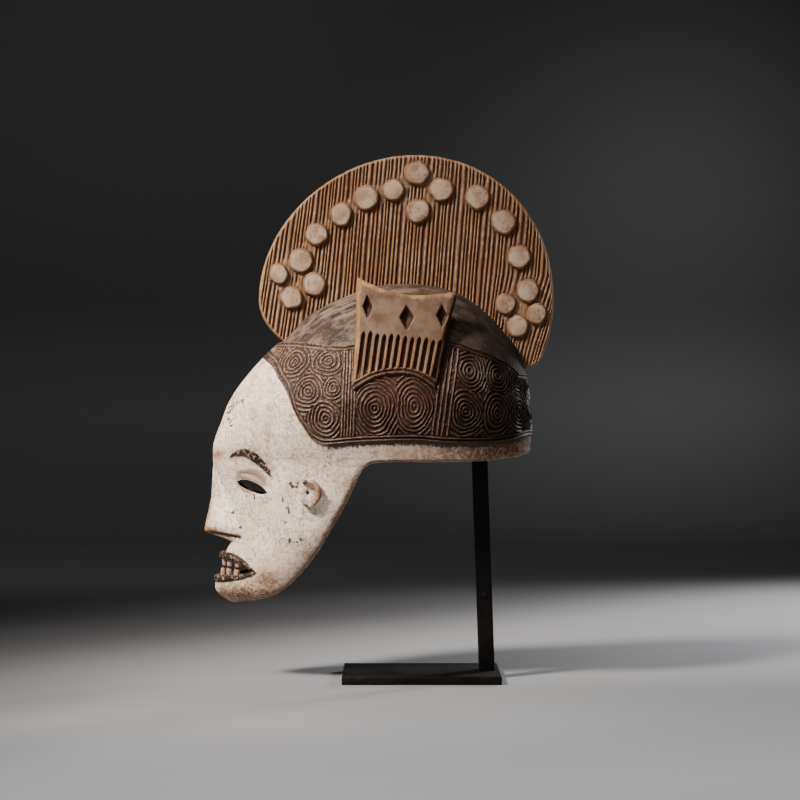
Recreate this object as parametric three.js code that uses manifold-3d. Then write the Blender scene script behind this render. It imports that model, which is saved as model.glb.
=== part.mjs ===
// Carved helmet mask of a maiden spirit on its steel stand.
// Millimetres, +Z up. The mask looks along -Y and its left side is +X.
// The origin is on the floor, under the middle of the whole object.
import * as THREE from 'three';
import { mergeVertices } from 'three/addons/utils/BufferGeometryUtils.js';
import Module from 'manifold-3d';

const wasm = await Module();
wasm.setup();

// Stations of the head from the chin up to the top of the dome: height, front, back, half width.
const headStations = [
  [73, -118, -118, 0],
  [78, -149, -70, 22],
  [88, -165.5, -60, 33],
  [98, -168, -50, 39],
  [112, -159, -40, 45.5],
  [130, -152, -20, 53],
  [150, -150.5, 0, 60],
  [175, -155, 40, 67],
  [200, -162, 90, 75],
  [222, -169.5, 150, 84],
  [240, -170.5, 155.5, 91],
  [262, -163, 155.5, 97],
  [290, -151, 153, 99],
  [325, -124, 148.5, 89],
  [348, -97, 134.5, 79],
  [375, -70, 111, 61],
  [395, -29, 83, 38],
  [404, 0, 52, 17],
  [406, 24, 24, 0],
];
const widestAt = 0.58;          // share of the depth, from the front, where a section is widest
const faceRoundness = 1.8;      // exponent of a section's front half on the face
const domeRoundness = 2.1;      // the same on the dome
const backRoundness = 2.3;      // exponent of a section's back half
const headSteps = [20, 18];     // faces round and up
const hollowSteps = [16, 11];

const wall = 11;                // thickness of the carved wall
const domeFoot = 262;           // the dome's inside keeps its wall from this height up
const hollowFloor = [100, 106, 112];   // how the hollow closes above the chin

// Edge of the opening below: along the jaw, then along the rim of the helmet.
const openingEdge = [
  [-141, 77.5], [-122, 82.5], [-102, 90.5], [-82, 107], [-61.5, 132.5], [-47, 157], [-33, 181.5],
  [-21, 207], [-13, 221], [0, 224.5], [104, 225.2], [121, 227.5], [142, 229.5], [170, 238],
];
const openingDeep = 20;         // a height below the whole mask

// Crest: a fluted plate that stands on the dome's middle line.
const crest = {
  centre: [28, 389],
  half: [152, 151.5],
  skew: 16,                     // how far the top leans to the back
  ends: [-20, 185],             // where the round outline ends, in degrees
  lobes: [[[167, 321], [150, 318]], [[-122, 349], [-95, 345]]],   // how each lower end curls in
  thickFoot: 19,
  thickTop: 14,
  sides: 26,                    // straight pieces in the round
  lobeSides: 4,
  flutes: 29,
  fluteDepth: 1.6,
};

// Discs on both faces of the crest: a chain between three diamonds.
const discRadius = 11.8;
const discRelief = 5;
const discSides = 8;
const discPlaces = [
  [-103, 415.7], [-79.9, 429.1], [-89.6, 391.1], [-66.5, 405], [-63.9, 456.3], [-38.6, 476.7],
  [-13, 493.9], [14.7, 501.6], [38.8, 519.5], [40, 480.4], [64.1, 502.1], [101.4, 493.9],
  [127.7, 469.3], [143.8, 433.5], [152.7, 398.5], [129.8, 385.1], [161.7, 374.8], [142, 362],
];

// Coiffure: a raised band round the dome with coils, ribs and cord borders.
const bandRelief = 1.6;
const cordRelief = 3.4;
const cordWidth = 3;
const hairline = [
  [-134, 331], [-120, 322.5], [-110, 318], [-93, 296.5], [-84, 276], [-74, 254], [-64, 245.5], [-47, 239.5],
];
const lowerCord = [[-47, 243], [-20, 250.5], [35, 254], [68, 250], [170, 254]];
const lowerEdge = [[-20, 243.5], [35, 245], [68, 241], [170, 250]];
const upperCord = [
  [-128, 338.5], [-100, 345.5], [-40, 340], [30, 345], [68, 346], [92, 338.5], [145, 319], [168, 312],
];
// Each coil: place, half size along and up, number of ridges.
const coils = [
  [-78, 325, 11.5, 13.5, 1], [-47.5, 323.5, 13.5, 12.5, 1], [-67, 295.5, 12.5, 12.5, 1],
  [-43, 298.5, 7.5, 8, 1], [-50, 269, 13, 13, 1], [-2, 278, 20, 23, 1], [35.5, 280, 15.5, 22, 1],
  [90, 315, 15, 15, 1], [87, 276, 14.5, 19, 1], [117, 311, 10, 15, 1], [117, 274, 11, 16, 1],
];
const coilSides = 7;
const ridgeWidth = 3;
const bossHalf = 3.2;           // the button in the middle of a coil
const bossSides = 5;
const bossFrom = 16;            // coils wider than this have one
const frontRibs = [-33, -26];                  // ribs in front of the comb
const frontRibSpan = [252, 338];
const backRibs = [59, 66];                     // ribs behind the comb, leaning to the back
const backRibSpan = [252, 312];
const backRibLean = 6;
const ribWidth = 2.4;

// Comb on each side of the dome.
const combOutline = [
  [-20.5, 404.5], [-21.5, 394], [-21, 360], [-24, 329], [-25.5, 303], [-4, 314], [20, 319], [38, 316.5],
  [57.5, 305], [66, 328], [70, 345], [76.5, 368], [80.5, 383], [79, 389], [62, 389.5], [42, 387.5],
  [24, 388], [5, 393.5], [-10.5, 400],
];
const comb = {
  lowest: 303,
  face: 103,                    // outer face from the mask's middle, at the lowest point
  lean: 0.17,                   // how far it leans in for each millimetre up
  bow: 0.0045,                  // how much it curves round the dome
  middle: 26,
  thick: 9,
  freeFrom: 336,                // above this height it stands clear of the dome
  deep: 6,                      // depth of the gaps between its teeth
};
const toothGap = { count: 12, first: -14.5, pitch: 6.95, width: 3.4, top: [356, 348], peak: 3 };
const lozenges = [[-9.5, 378.5, 4.4, 10.8], [28.5, 368.5, 6.8, 12.5], [63, 369, 5.4, 11.8]];

// Face.
const eye = { place: [-128.3, 198.2], half: [18.4, 4.7], turn: 56, tilt: -15.5 };
const nose = {
  bridge: 231,
  ridge: [[-170, 231], [-171.5, 205], [-172.5, 187], [-176, 170]],
  tip: [-179.7, 154],
  under: [-148, 144],
  half: [4, 17],                // half width at the bridge and at the wings
  root: -140,                   // how far back it is let into the face
  fall: [16, 10],               // how far its sides fall back at the bridge, and how much more below
  roundness: 1.6,
};
const lips = { corner: [-129, 111], half: 33, height: [127, 104], front: [-161, -166.5], thick: 5 };
const mouth = { middle: 115.5, half: [27, 8.2], depth: [-200, -110] };
// Peg teeth: the two rows' heights, then each peg's place across, place ahead and turn on the left side.
const peg = {
  size: [6, 9, 10],
  rows: [121.5, 109.5],
  places: [[4.6, -160, 0.12], [13.5, -155.5, 0.5], [21.5, -147.5, 0.85]],
};
const earRim = [[-77, 206.5], [-63, 205], [-57.5, 194.5], [-61, 183.5], [-75, 179.5]];
const ear = { stand: 4.5, thick: 4, middle: [-71, 193], half: [10, 12], plate: 3.2, sides: 8 };

// Stand.
const base = { size: [120, 161, 8.5], middle: 43.5 };
const post = { side: 16, foot: 110.9, top: 359.5, lean: 0.034 };
const gap = 0.3;                // between pieces that touch
const reach = 220;              // longer than any half size across the mask

const woodPaint = new THREE.MeshStandardMaterial({ color: 0xcdb8a8, roughness: 0.8, metalness: 0 });
const blackSteel = new THREE.MeshStandardMaterial({ color: 0x1a1817, roughness: 0.45, metalness: 0.85 });

function mix(a, b, t) {
  return a + (b - a) * Math.min(Math.max(t, 0), 1);
}

function power(value, exponent) {
  return Math.sign(value) * Math.abs(value) ** exponent;
}

// A smooth row between the rows of a list, share from 0 to 1.
function rowAt(rows, share) {
  const at = Math.min(Math.max(share, 0), 1) * (rows.length - 1);
  const k = Math.min(Math.floor(at), rows.length - 2);
  const t = at - k;
  const row = (i) => rows[Math.min(Math.max(i, 0), rows.length - 1)];
  return rows[0].map((_, c) => {
    const [before, from, to, after] = [row(k - 1)[c], row(k)[c], row(k + 1)[c], row(k + 2)[c]];
    const slopeFrom = (to - before) / 2;
    const slopeTo = (after - from) / 2;
    const rise = to - from;
    const square = 3 * rise - 2 * slopeFrom - slopeTo;
    const cube = slopeFrom + slopeTo - 2 * rise;
    return from + slopeFrom * t + square * t * t + cube * t * t * t;
  });
}

function sectionShape(rows, share) {
  const [z, front, back, half] = rowAt(rows, share);
  const middle = front + widestAt * (back - front);
  const roundness = mix(faceRoundness, domeRoundness, (z - 225) / 60);
  return { z, front, back, half, middle, roundness };
}

function sectionPoint(rows, share, turn) {
  const { z, front, back, half, middle, roundness } = sectionShape(rows, share);
  const ahead = Math.cos(turn) > 0;
  const length = ahead ? middle - front : back - middle;
  const exponent = 2 / (ahead ? roundness : backRoundness);
  const x = half * power(Math.sin(turn), exponent);
  const y = middle - length * power(Math.cos(turn), exponent);
  return new THREE.Vector3(x, y, z);
}

function outward(rows, share, turn) {
  const stepUp = 0.004;
  const stepRound = 0.03;
  if (share < stepUp * 2) return new THREE.Vector3(0, 0, -1);
  if (share > 1 - stepUp * 2) return new THREE.Vector3(0, 0, 1);
  const up = sectionPoint(rows, share + stepUp, turn).sub(sectionPoint(rows, share - stepUp, turn));
  const round = sectionPoint(rows, share, turn + stepRound);
  round.sub(sectionPoint(rows, share, turn - stepRound));
  return round.cross(up).normalize();
}

// The half width of the head's surface at a place on its side.
function sideAt(y, z) {
  let low = 0;
  let high = 1;
  for (let i = 0; i < 30; i += 1) {
    const share = (low + high) / 2;
    if (rowAt(headStations, share)[0] < z) low = share;
    else high = share;
  }
  const { front, back, half, middle, roundness } = sectionShape(headStations, low);
  const ahead = y < middle;
  const length = ahead ? middle - front : back - middle;
  const exponent = ahead ? roundness : backRoundness;
  const off = Math.min(Math.abs(y - middle) / length, 1);
  return half * (1 - off ** exponent) ** (1 / exponent);
}

function solid(geometry) {
  const bare = geometry.clone();
  bare.deleteAttribute('normal');
  bare.deleteAttribute('uv');
  const merged = mergeVertices(bare, 1e-4);
  return new wasm.Manifold(new wasm.Mesh({
    numProp: 3,
    vertProperties: new Float32Array(merged.attributes.position.array),
    triVerts: new Uint32Array(merged.index.array),
  }));
}

function joined(parts) {
  return parts.reduce((all, part) => all.add(part));
}

// A part and its mirror image across the mask's middle.
function bothSides(part) {
  const { vertProperties, triVerts } = part.getMesh();
  const places = vertProperties.map((value, i) => (i % 3 === 0 ? -value : value));
  const turned = triVerts.slice().reverse();
  const image = new wasm.Mesh({ numProp: 3, vertProperties: places, triVerts: turned });
  return part.add(new wasm.Manifold(image));
}

// Moves every corner of a ball to a place worked out from its turn round the axis and its share up.
function shapedBall(around, rows, place) {
  const ball = new THREE.SphereGeometry(1, around, rows);
  const corners = ball.attributes.position;
  const p = new THREE.Vector3();
  for (let i = 0; i < corners.count; i += 1) {
    p.fromBufferAttribute(corners, i);
    const share = 1 - Math.acos(Math.min(Math.max(p.y, -1), 1)) / Math.PI;
    const to = place(share, Math.atan2(p.x, p.z));
    corners.setXYZ(i, to.x, to.y, to.z);
  }
  return solid(ball);
}

function headForm(grow) {
  return shapedBall(headSteps[0], headSteps[1], (share, turn) => (
    sectionPoint(headStations, share, turn).addScaledVector(outward(headStations, share, turn), grow)));
}

// The hollow follows the face's wall, and above the dome's foot it is the dome made smaller.
function hollowForm() {
  const footRow = headStations.find(([z]) => z === domeFoot);
  const middle = (footRow[1] + footRow[2]) / 2;
  const length = (footRow[2] - footRow[1]) / 2;
  const height = headStations[headStations.length - 1][0] - domeFoot;
  const walls = headStations.filter(([z]) => z >= hollowFloor[2]).map(([z, front, back, half]) => {
    if (z <= domeFoot) return [z, front + wall, back - wall, half - wall];
    const shorter = (length - wall) / length;
    return [
      domeFoot + (z - domeFoot) * (height - wall) / height,
      middle + (front - middle) * shorter,
      middle + (back - middle) * shorter,
      half * (footRow[3] - wall) / footRow[3],
    ];
  });
  const [, front, back, half] = walls[0];
  const deep = front + widestAt * (back - front);
  walls.unshift([hollowFloor[1], front + 4, back - 12, half * 0.8]);
  walls.unshift([hollowFloor[0], deep, deep, 0]);
  return shapedBall(hollowSteps[0], hollowSteps[1], (share, turn) => sectionPoint(walls, share, turn));
}

// An outline drawn on the side view, y to the right and z up, pushed from x0 to x1.
function sidePrism(points, x0, x1) {
  const outline = new THREE.Shape(points.map(([y, z]) => new THREE.Vector2(y, z)));
  const block = new THREE.ExtrudeGeometry(outline, { depth: x1 - x0, bevelEnabled: false });
  block.rotateX(Math.PI / 2);
  block.rotateZ(Math.PI / 2);
  block.translate(x0, 0, 0);
  return solid(block);
}

function oval(cy, cz, ry, rz, sides) {
  return Array.from({ length: sides }, (_, i) => {
    const a = (i + 0.5) / sides * Math.PI * 2;
    return [cy + ry * Math.cos(a), cz + rz * Math.sin(a)];
  });
}

// A line on the side view, given a width.
function stripe(points, width) {
  const left = [];
  const right = [];
  points.forEach(([y, z], i) => {
    const [ay, az] = points[Math.max(i - 1, 0)];
    const [by, bz] = points[Math.min(i + 1, points.length - 1)];
    const share = width / 2 / Math.hypot(by - ay, bz - az);
    const [ny, nz] = [(az - bz) * share, (by - ay) * share];
    left.push([y + ny, z + nz]);
    right.unshift([y - ny, z - nz]);
  });
  return right.reverse().concat(left.reverse());
}

// A roll that follows a curve, thickest at its middle and closed at both ends.
function roll(curve, thick, around, rows) {
  return shapedBall(around, rows, (share, turn) => {
    const to = curve.getPoint(share);
    const along = curve.getTangent(share);
    const side = along.clone().cross(new THREE.Vector3(0, 0, 1)).normalize();
    const up = side.clone().cross(along).normalize();
    const radius = thick * Math.sin(Math.PI * share) ** 0.45;
    return to.addScaledVector(side, radius * Math.sin(turn)).addScaledVector(up, radius * Math.cos(turn));
  });
}

// The crest's outline: most of a round that leans back, and a lobe that curls in at each lower end.
function crestOutline() {
  const [cy, cz] = crest.centre;
  const round = Array.from({ length: crest.sides + 1 }, (_, i) => {
    const a = mix(crest.ends[0], crest.ends[1], i / crest.sides) * Math.PI / 180;
    const lift = Math.max(Math.sin(a), 0);
    return new THREE.Vector2(
      cy + crest.half[0] * Math.cos(a) + crest.skew * lift * lift * (1 - lift * 0.4),
      cz + crest.half[1] * Math.sin(a),
    );
  });
  const [back, front] = crest.lobes.map(([bend, end], i) => {
    const from = round[i * crest.sides];
    const curve = new THREE.QuadraticBezierCurve(from, new THREE.Vector2(...bend), new THREE.Vector2(...end));
    return curve.getPoints(crest.lobeSides).slice(1);
  });
  return [...back.reverse(), ...round, ...front].map((p) => [p.x, p.y]);
}

// The crest thins from its foot to its top.
function thinned(geometry) {
  const corners = geometry.attributes.position;
  const foot = crest.centre[1] - crest.half[1] / 2;
  const top = crest.centre[1] + crest.half[1];
  for (let i = 0; i < corners.count; i += 1) {
    const up = (corners.getZ(i) - foot) / (top - foot);
    corners.setX(i, corners.getX(i) * mix(1, crest.thickTop / crest.thickFoot, up));
  }
  return solid(geometry);
}

// Flutes run up both faces of the plate: a zigzag seen from above, pushed up.
function flutedPlate() {
  const [cy, cz] = crest.centre;
  const pitch = 2 * crest.half[0] / crest.flutes;
  const face = [];
  for (let i = 0; i <= crest.flutes * 2; i += 1) {
    const deep = i % 2 ? 0 : crest.fluteDepth;
    face.push(new THREE.Vector2(crest.thickFoot / 2 - deep, cy - crest.half[0] + i * pitch / 2));
  }
  const far = face.map((p) => new THREE.Vector2(-p.x, p.y)).reverse();
  const height = crest.half[1] * 1.8;
  const outline = new THREE.Shape(face.concat(far));
  const plate = new THREE.ExtrudeGeometry(outline, { depth: height, bevelEnabled: false });
  plate.translate(0, 0, cz + crest.half[1] - height);
  return thinned(plate);
}

function makeCrest() {
  const plate = flutedPlate().intersect(sidePrism(crestOutline(), -reach, reach));
  const top = crest.centre[1] + crest.half[1];
  const discs = discPlaces.map(([y, z]) => {
    const up = (z - crest.centre[1]) / (top - crest.centre[1]);
    const height = mix(crest.thickFoot, crest.thickTop, up) + 2 * discRelief;
    const disc = new THREE.CylinderGeometry(discRadius, discRadius, height, discSides);
    disc.rotateZ(-Math.PI / 2);
    disc.translate(0, y, z);
    return solid(disc);
  });
  return joined([plate, ...discs]);
}

// A block whose outer face leans in and curves like the comb's, moved in by depth.
function combBlock(depth) {
  const [wide, high] = [140, 130];
  const block = new THREE.BoxGeometry(2, wide, high, 1, 10, 1);
  block.translate(1, comb.middle, comb.lowest + high / 2 - 10);
  const corners = block.attributes.position;
  for (let i = 0; i < corners.count; i += 1) {
    if (corners.getX(i) > 1) {
      const off = corners.getY(i) - comb.middle;
      const lift = corners.getZ(i) - comb.lowest;
      corners.setX(i, comb.face - depth - comb.lean * lift - comb.bow * off * off);
    }
  }
  return solid(block);
}

function makeComb() {
  const cuts = [];
  for (let i = 0; i < toothGap.count; i += 1) {
    const from = toothGap.first + i * toothGap.pitch;
    const to = from + toothGap.width;
    const top = mix(toothGap.top[0], toothGap.top[1], i / (toothGap.count - 1));
    cuts.push(sidePrism([
      [from, comb.lowest - 20], [to, comb.lowest - 20], [to, top - toothGap.peak],
      [(from + to) / 2, top], [from, top - toothGap.peak],
    ], 0, reach));
  }
  lozenges.forEach(([y, z, hy, hz]) => {
    cuts.push(sidePrism([[y - hy, z], [y, z - hz], [y + hy, z], [y, z + hz]], 0, reach));
  });
  const free = [[-90, comb.freeFrom], [150, comb.freeFrom], [150, 450], [-90, 450]];
  const behind = combBlock(comb.thick).intersect(sidePrism(free, -1, reach));
  return combBlock(0).intersect(sidePrism(combOutline, 30, reach))
    .subtract(behind)
    .subtract(joined(cuts).subtract(combBlock(comb.deep)));
}

// Cords, coils and ribs as ridges that follow the dome.
function makeRidges() {
  const lines = [lowerCord, upperCord].map((line) => stripe(line, cordWidth));
  frontRibs.forEach((y) => {
    lines.push(stripe([[y, frontRibSpan[0]], [y, frontRibSpan[1]]], ribWidth));
  });
  backRibs.forEach((y) => {
    lines.push(stripe([[y, backRibSpan[0]], [y + backRibLean, backRibSpan[1]]], ribWidth));
  });
  const ridges = lines.map((line) => sidePrism(line, -reach, reach));
  coils.forEach(([y, z, ry, rz, count]) => {
    for (let i = 0; i < count; i += 1) {
      const share = 1 - i / (count + 0.6);
      const [outY, outZ] = [ry * share, rz * share];
      const outer = sidePrism(oval(y, z, outY, outZ, coilSides), -reach, reach);
      const inner = sidePrism(oval(y, z, outY - ridgeWidth, outZ - ridgeWidth, coilSides), -reach, reach);
      ridges.push(outer.subtract(inner));
    }
    if (ry > bossFrom) ridges.push(sidePrism(oval(y, z, bossHalf, bossHalf, bossSides), -reach, reach));
  });
  return joined(ridges).intersect(headForm(cordRelief));
}

function makeNose() {
  const [tipY, tipZ] = nose.tip;
  const [underY, underZ] = nose.under;
  const profile = [
    [nose.root, nose.bridge], ...nose.ridge, [tipY, tipZ], [tipY + 3, tipZ - 4.5],
    [underY - 10, underZ + 1], [underY, underZ], [nose.root, underZ + 3],
  ];
  const outline = new THREE.Shape(profile.map(([y, z]) => new THREE.Vector2(y, z)));
  const block = new THREE.ExtrudeGeometry(outline, { depth: 2, steps: 8, bevelEnabled: false });
  block.rotateX(Math.PI / 2);
  block.rotateZ(Math.PI / 2);
  block.translate(-1, 0, 0);
  const corners = block.attributes.position;
  for (let i = 0; i < corners.count; i += 1) {
    const [across, y, z] = [corners.getX(i), corners.getY(i), corners.getZ(i)];
    const down = Math.min((nose.bridge - z) / (nose.bridge - tipZ), 1);
    const side = Math.abs(across) ** nose.roundness * (nose.fall[0] + nose.fall[1] * down);
    const fall = (y - nose.root) / (tipY - nose.root) * side;
    corners.setXYZ(i, across * mix(nose.half[0], nose.half[1], down * down), y + fall, z);
  }
  return solid(block);
}

// The upper lip, then the lower one, as rolls from corner to corner.
function makeLips() {
  const [cornerY, cornerZ] = lips.corner;
  return lips.height.map((height, i) => {
    const points = [-1, -0.55, 0, 0.55, 1].map((across) => {
      const bend = across ** 2;
      const y = mix(lips.front[i], cornerY, bend);
      return new THREE.Vector3(across * lips.half, y, mix(height, cornerZ, bend));
    });
    return roll(new THREE.CatmullRomCurve3(points), lips.thick, 6, 10);
  });
}

// A pointed oval, drawn across and up, pushed along y.
function almond(half, depth) {
  const outline = new THREE.Shape();
  outline.moveTo(-half[0], 0);
  outline.quadraticCurveTo(0, half[1] * 2, half[0], 0);
  outline.quadraticCurveTo(0, -half[1] * 2, -half[0], 0);
  const block = new THREE.ExtrudeGeometry(outline, { depth, bevelEnabled: false, curveSegments: 4 });
  block.rotateX(Math.PI / 2);
  return block;
}

function makeEye(side) {
  const [y, z] = eye.place;
  const slit = almond(eye.half, 60);
  slit.translate(0, 30, 0);
  slit.rotateY(THREE.MathUtils.degToRad(-eye.tilt * side));
  slit.rotateZ(THREE.MathUtils.degToRad(eye.turn * side));
  slit.translate(side * sideAt(y, z), y, z);
  return solid(slit);
}

function makeMouth() {
  const gapShape = almond(mouth.half, mouth.depth[1] - mouth.depth[0]);
  gapShape.translate(0, mouth.depth[1], mouth.middle);
  return solid(gapShape);
}

function makePegs() {
  const pegs = [];
  peg.rows.forEach((z) => {
    peg.places.forEach(([x, y, turn]) => {
      [1, -1].forEach((side) => {
        const tooth = new THREE.BoxGeometry(...peg.size);
        tooth.rotateZ(turn * side);
        tooth.translate(x * side, y, z);
        pegs.push(solid(tooth));
      });
    });
  });
  return pegs;
}

function makeEars() {
  const [y, z] = ear.middle;
  const through = sidePrism(oval(y, z, ear.half[0], ear.half[1], ear.sides), -reach, reach);
  const plates = through.intersect(headForm(ear.plate));
  const rims = [1, -1].map((side) => {
    const points = earRim.map(([py, pz]) => new THREE.Vector3(side * (sideAt(py, pz) + ear.stand), py, pz));
    return roll(new THREE.CatmullRomCurve3(points), ear.thick, 6, 8);
  });
  return joined([plates, ...rims]);
}

function makeMask() {
  const hollow = hollowForm();
  const opening = sidePrism([...openingEdge, [170, openingDeep], [-141, openingDeep]], -reach, reach);
  const band = sidePrism([...hairline, ...lowerEdge, ...upperCord.slice().reverse()], -reach, reach);
  const coiffure = headForm(bandRelief).intersect(band);
  const skin = joined([headForm(0), coiffure, makeRidges(), makeNose(), makeEars(), ...makeLips()]);
  const cuts = joined([hollow, opening, makeEye(1), makeEye(-1), makeMouth()]);
  const upper = joined([makeCrest(), bothSides(makeComb())]).subtract(hollow);
  return joined([skin.subtract(cuts), upper, ...makePegs()]);
}

// The bar leans a little to the front, with its foot cut level.
function makePost() {
  const length = post.top - base.size[2] - gap;
  const bar = new THREE.BoxGeometry(post.side, post.side, length);
  bar.translate(0, 0, length / 2);
  const corners = bar.attributes.position;
  for (let i = 0; i < corners.count; i += 1) {
    corners.setY(i, corners.getY(i) - corners.getZ(i) * post.lean);
  }
  return bar;
}

function meshOf(manifold, name, material) {
  const { vertProperties, triVerts } = manifold.getMesh();
  const geometry = new THREE.BufferGeometry();
  geometry.setAttribute('position', new THREE.BufferAttribute(vertProperties, 3));
  geometry.setIndex(new THREE.BufferAttribute(triVerts, 1));
  const mesh = new THREE.Mesh(geometry, material);
  mesh.name = name;
  return mesh;
}

const object = new THREE.Group();
object.add(meshOf(makeMask(), 'mask', woodPaint));

const basePlate = new THREE.Mesh(new THREE.BoxGeometry(...base.size), blackSteel);
basePlate.name = 'stand_base';
basePlate.position.set(0, base.middle, base.size[2] / 2);
object.add(basePlate);

const postBar = new THREE.Mesh(makePost(), blackSteel);
postBar.name = 'stand_post';
postBar.position.set(0, post.foot, base.size[2] + gap);
object.add(postBar);

export default object;
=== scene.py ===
import math
import bmesh
import bpy
import numpy as np
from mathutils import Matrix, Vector


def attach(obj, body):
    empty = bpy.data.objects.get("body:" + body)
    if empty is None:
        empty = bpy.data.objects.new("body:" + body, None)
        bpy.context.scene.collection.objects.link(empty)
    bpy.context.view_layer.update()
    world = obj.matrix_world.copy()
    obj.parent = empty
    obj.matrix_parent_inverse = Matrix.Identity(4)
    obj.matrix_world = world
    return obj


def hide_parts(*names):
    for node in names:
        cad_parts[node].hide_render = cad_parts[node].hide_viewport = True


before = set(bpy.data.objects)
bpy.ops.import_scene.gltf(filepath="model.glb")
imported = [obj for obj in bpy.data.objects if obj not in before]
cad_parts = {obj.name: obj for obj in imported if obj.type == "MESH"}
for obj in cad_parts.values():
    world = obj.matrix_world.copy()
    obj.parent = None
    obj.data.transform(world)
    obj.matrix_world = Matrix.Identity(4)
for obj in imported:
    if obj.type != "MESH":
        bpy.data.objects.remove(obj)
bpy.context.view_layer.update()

mm = 0.001

head = {
    # height, front, back and half width from the chin up to the top of the dome
    "stations": [
        [73, -118, -118, 0], [78, -149, -70, 22], [88, -165.5, -60, 33], [98, -168, -50, 39],
        [112, -159, -40, 45.5], [130, -152, -20, 53], [150, -150.5, 0, 60], [175, -155, 40, 67],
        [200, -162, 90, 75], [222, -169.5, 150, 84], [240, -170.5, 155.5, 91], [262, -163, 155.5, 97],
        [290, -151, 153, 99], [325, -124, 148.5, 89], [348, -97, 134.5, 79], [375, -70, 111, 61],
        [395, -29, 83, 38], [404, 0, 52, 17], [406, 24, 24, 0],
    ],
    "widestAt": 0.58,
    "faceRoundness": 1.8,
    "domeRoundness": 2.1,
    "backRoundness": 2.3,
    "columns": 180,             # on each side
    "frontShare": 0.62,         # share of the columns that the front part takes
    "frontPart": 0.42,          # share of the way round that is the front part
    # height where a zone ends and the step between its rows
    "rows": [
        [99, 1.9], [131, 1.2], [139, 1.3], [155, 0.72], [184, 1.8],
        [210, 1.2], [243, 1.5], [290, 2.3], [345, 4.2], [406, 3.6],
    ],
    "wall": 11,
    "domeFoot": 262,
    "hollowFloor": [100, 106, 112],
    # the hand tool's marks, in metres
    "tool": {"Depth": 0.0007, "Size": 0.014, "Fine": 0.00012, "Seed": 2.0},
}

opening = {
    "edge": [
        [-141, 77.5], [-122, 82.5], [-102, 90.5], [-82, 107], [-61.5, 132.5], [-47, 157], [-33, 181.5],
        [-21, 207], [-13, 219.5], [2, 224.3], [50, 224.6], [104, 225.2], [121, 227.5], [142, 229.5],
        [170, 238],
    ],
    "ahead": [-166, 65],        # where the rounded edge would run on under the chin
    "round": 5.5,               # how softly the edge is rounded along the jaw
    "roundRim": 2.6,            # the same along the helmet's rim
    "deep": 20,
    "ends": [-200, 190],        # how far ahead and behind the cut reaches
}


def mix(low, high, share):
    return low + (high - low) * np.clip(share, 0, 1)


def smooth(value, low, high):
    share = np.clip((value - low) / (high - low), 0, 1)
    return share * share * (3 - 2 * share)


# Smooth random values from -1 to 1 that change over about the given size.
def lump(points, size, seed):
    table = np.random.default_rng(seed).random((24, 24, 24)) * 2 - 1
    at = points / size + 1000
    cell = np.floor(at).astype(int)
    part = at - cell
    part = part * part * (3 - 2 * part)
    total = np.zeros(len(points))
    for corner in np.ndindex(2, 2, 2):
        weight = np.prod(np.where(corner, part, 1 - part), axis=1)
        i, j, k = ((cell + corner) % 24).T
        total += weight * table[i, j, k]
    return total


# A smooth row between the rows of a list, for shares from 0 to 1.
def rowsAt(rows, shares):
    rows = np.asarray(rows, float)
    at = np.clip(shares, 0, 1) * (len(rows) - 1)
    k = np.minimum(at.astype(int), len(rows) - 2)
    t = (at - k)[:, None]
    before, start, end, after = (rows[np.clip(k + i, 0, len(rows) - 1)] for i in (-1, 0, 1, 2))
    slopeStart = (end - before) / 2
    slopeEnd = (after - start) / 2
    rise = end - start
    square = 3 * rise - 2 * slopeStart - slopeEnd
    cube = slopeStart + slopeEnd - 2 * rise
    return start + slopeStart * t + square * t ** 2 + cube * t ** 3


# A smooth line through a few points.
def curveThrough(points, steps):
    return rowsAt(points, np.linspace(0, 1, steps))


# Places on the head's left side: a row for each share up, a column for each share of the way round
# from the middle of the front to the middle of the back. Also gives each row's length.
def sectionPoints(stations, shares, ways):
    z, front, back, half = rowsAt(stations, shares).T[:, :, None]
    middle = front + head["widestAt"] * (back - front)
    roundness = mix(head["faceRoundness"], head["domeRoundness"], (z - 225) / 60)
    turn = np.linspace(0, math.pi, 1401)
    cosine = np.cos(turn)
    ahead = cosine > 0
    exponent = np.where(ahead, 2 / roundness, 2 / head["backRoundness"])
    length = np.where(ahead, middle - front, back - middle)
    x = np.maximum(half, 0) * np.clip(np.sin(turn), 0, 1) ** exponent
    y = middle - length * np.sign(cosine) * np.abs(cosine) ** exponent
    steps = np.hypot(np.diff(x, axis=1), np.diff(y, axis=1))
    arc = np.concatenate([np.zeros((len(z), 1)), np.cumsum(steps, axis=1)], axis=1)
    total = np.maximum(arc[:, -1:], 1e-9)
    places = np.empty((len(z), len(ways), 3))
    for i, share in enumerate(arc / total):
        places[i, :, 0] = np.interp(ways, share, x[i])
        places[i, :, 1] = np.interp(ways, share, y[i])
    places[:, :, 2] = z
    return places, total


def outward(places):
    up = np.gradient(places, axis=0)
    along = np.gradient(places, axis=1)
    normal = np.cross(along, up)
    return normal / np.maximum(np.linalg.norm(normal, axis=2, keepdims=True), 1e-9)


shareTable = np.linspace(0, 1, 4001)
heightTable = np.maximum.accumulate(rowsAt(head["stations"], shareTable)[:, 0])


def shareOf(height):
    return np.interp(height, heightTable, shareTable)


# The bare head's surface as a table that other pieces look places up in.
skinHeights = np.linspace(205, 400, 391)
skinWays = np.linspace(0, 1, 901)
skinTable, skinLengths = sectionPoints(head["stations"], shareOf(skinHeights), skinWays)
skinNormals = outward(skinTable)


def skinRow(height):
    return (height - skinHeights[0]) / (skinHeights[1] - skinHeights[0])


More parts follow.
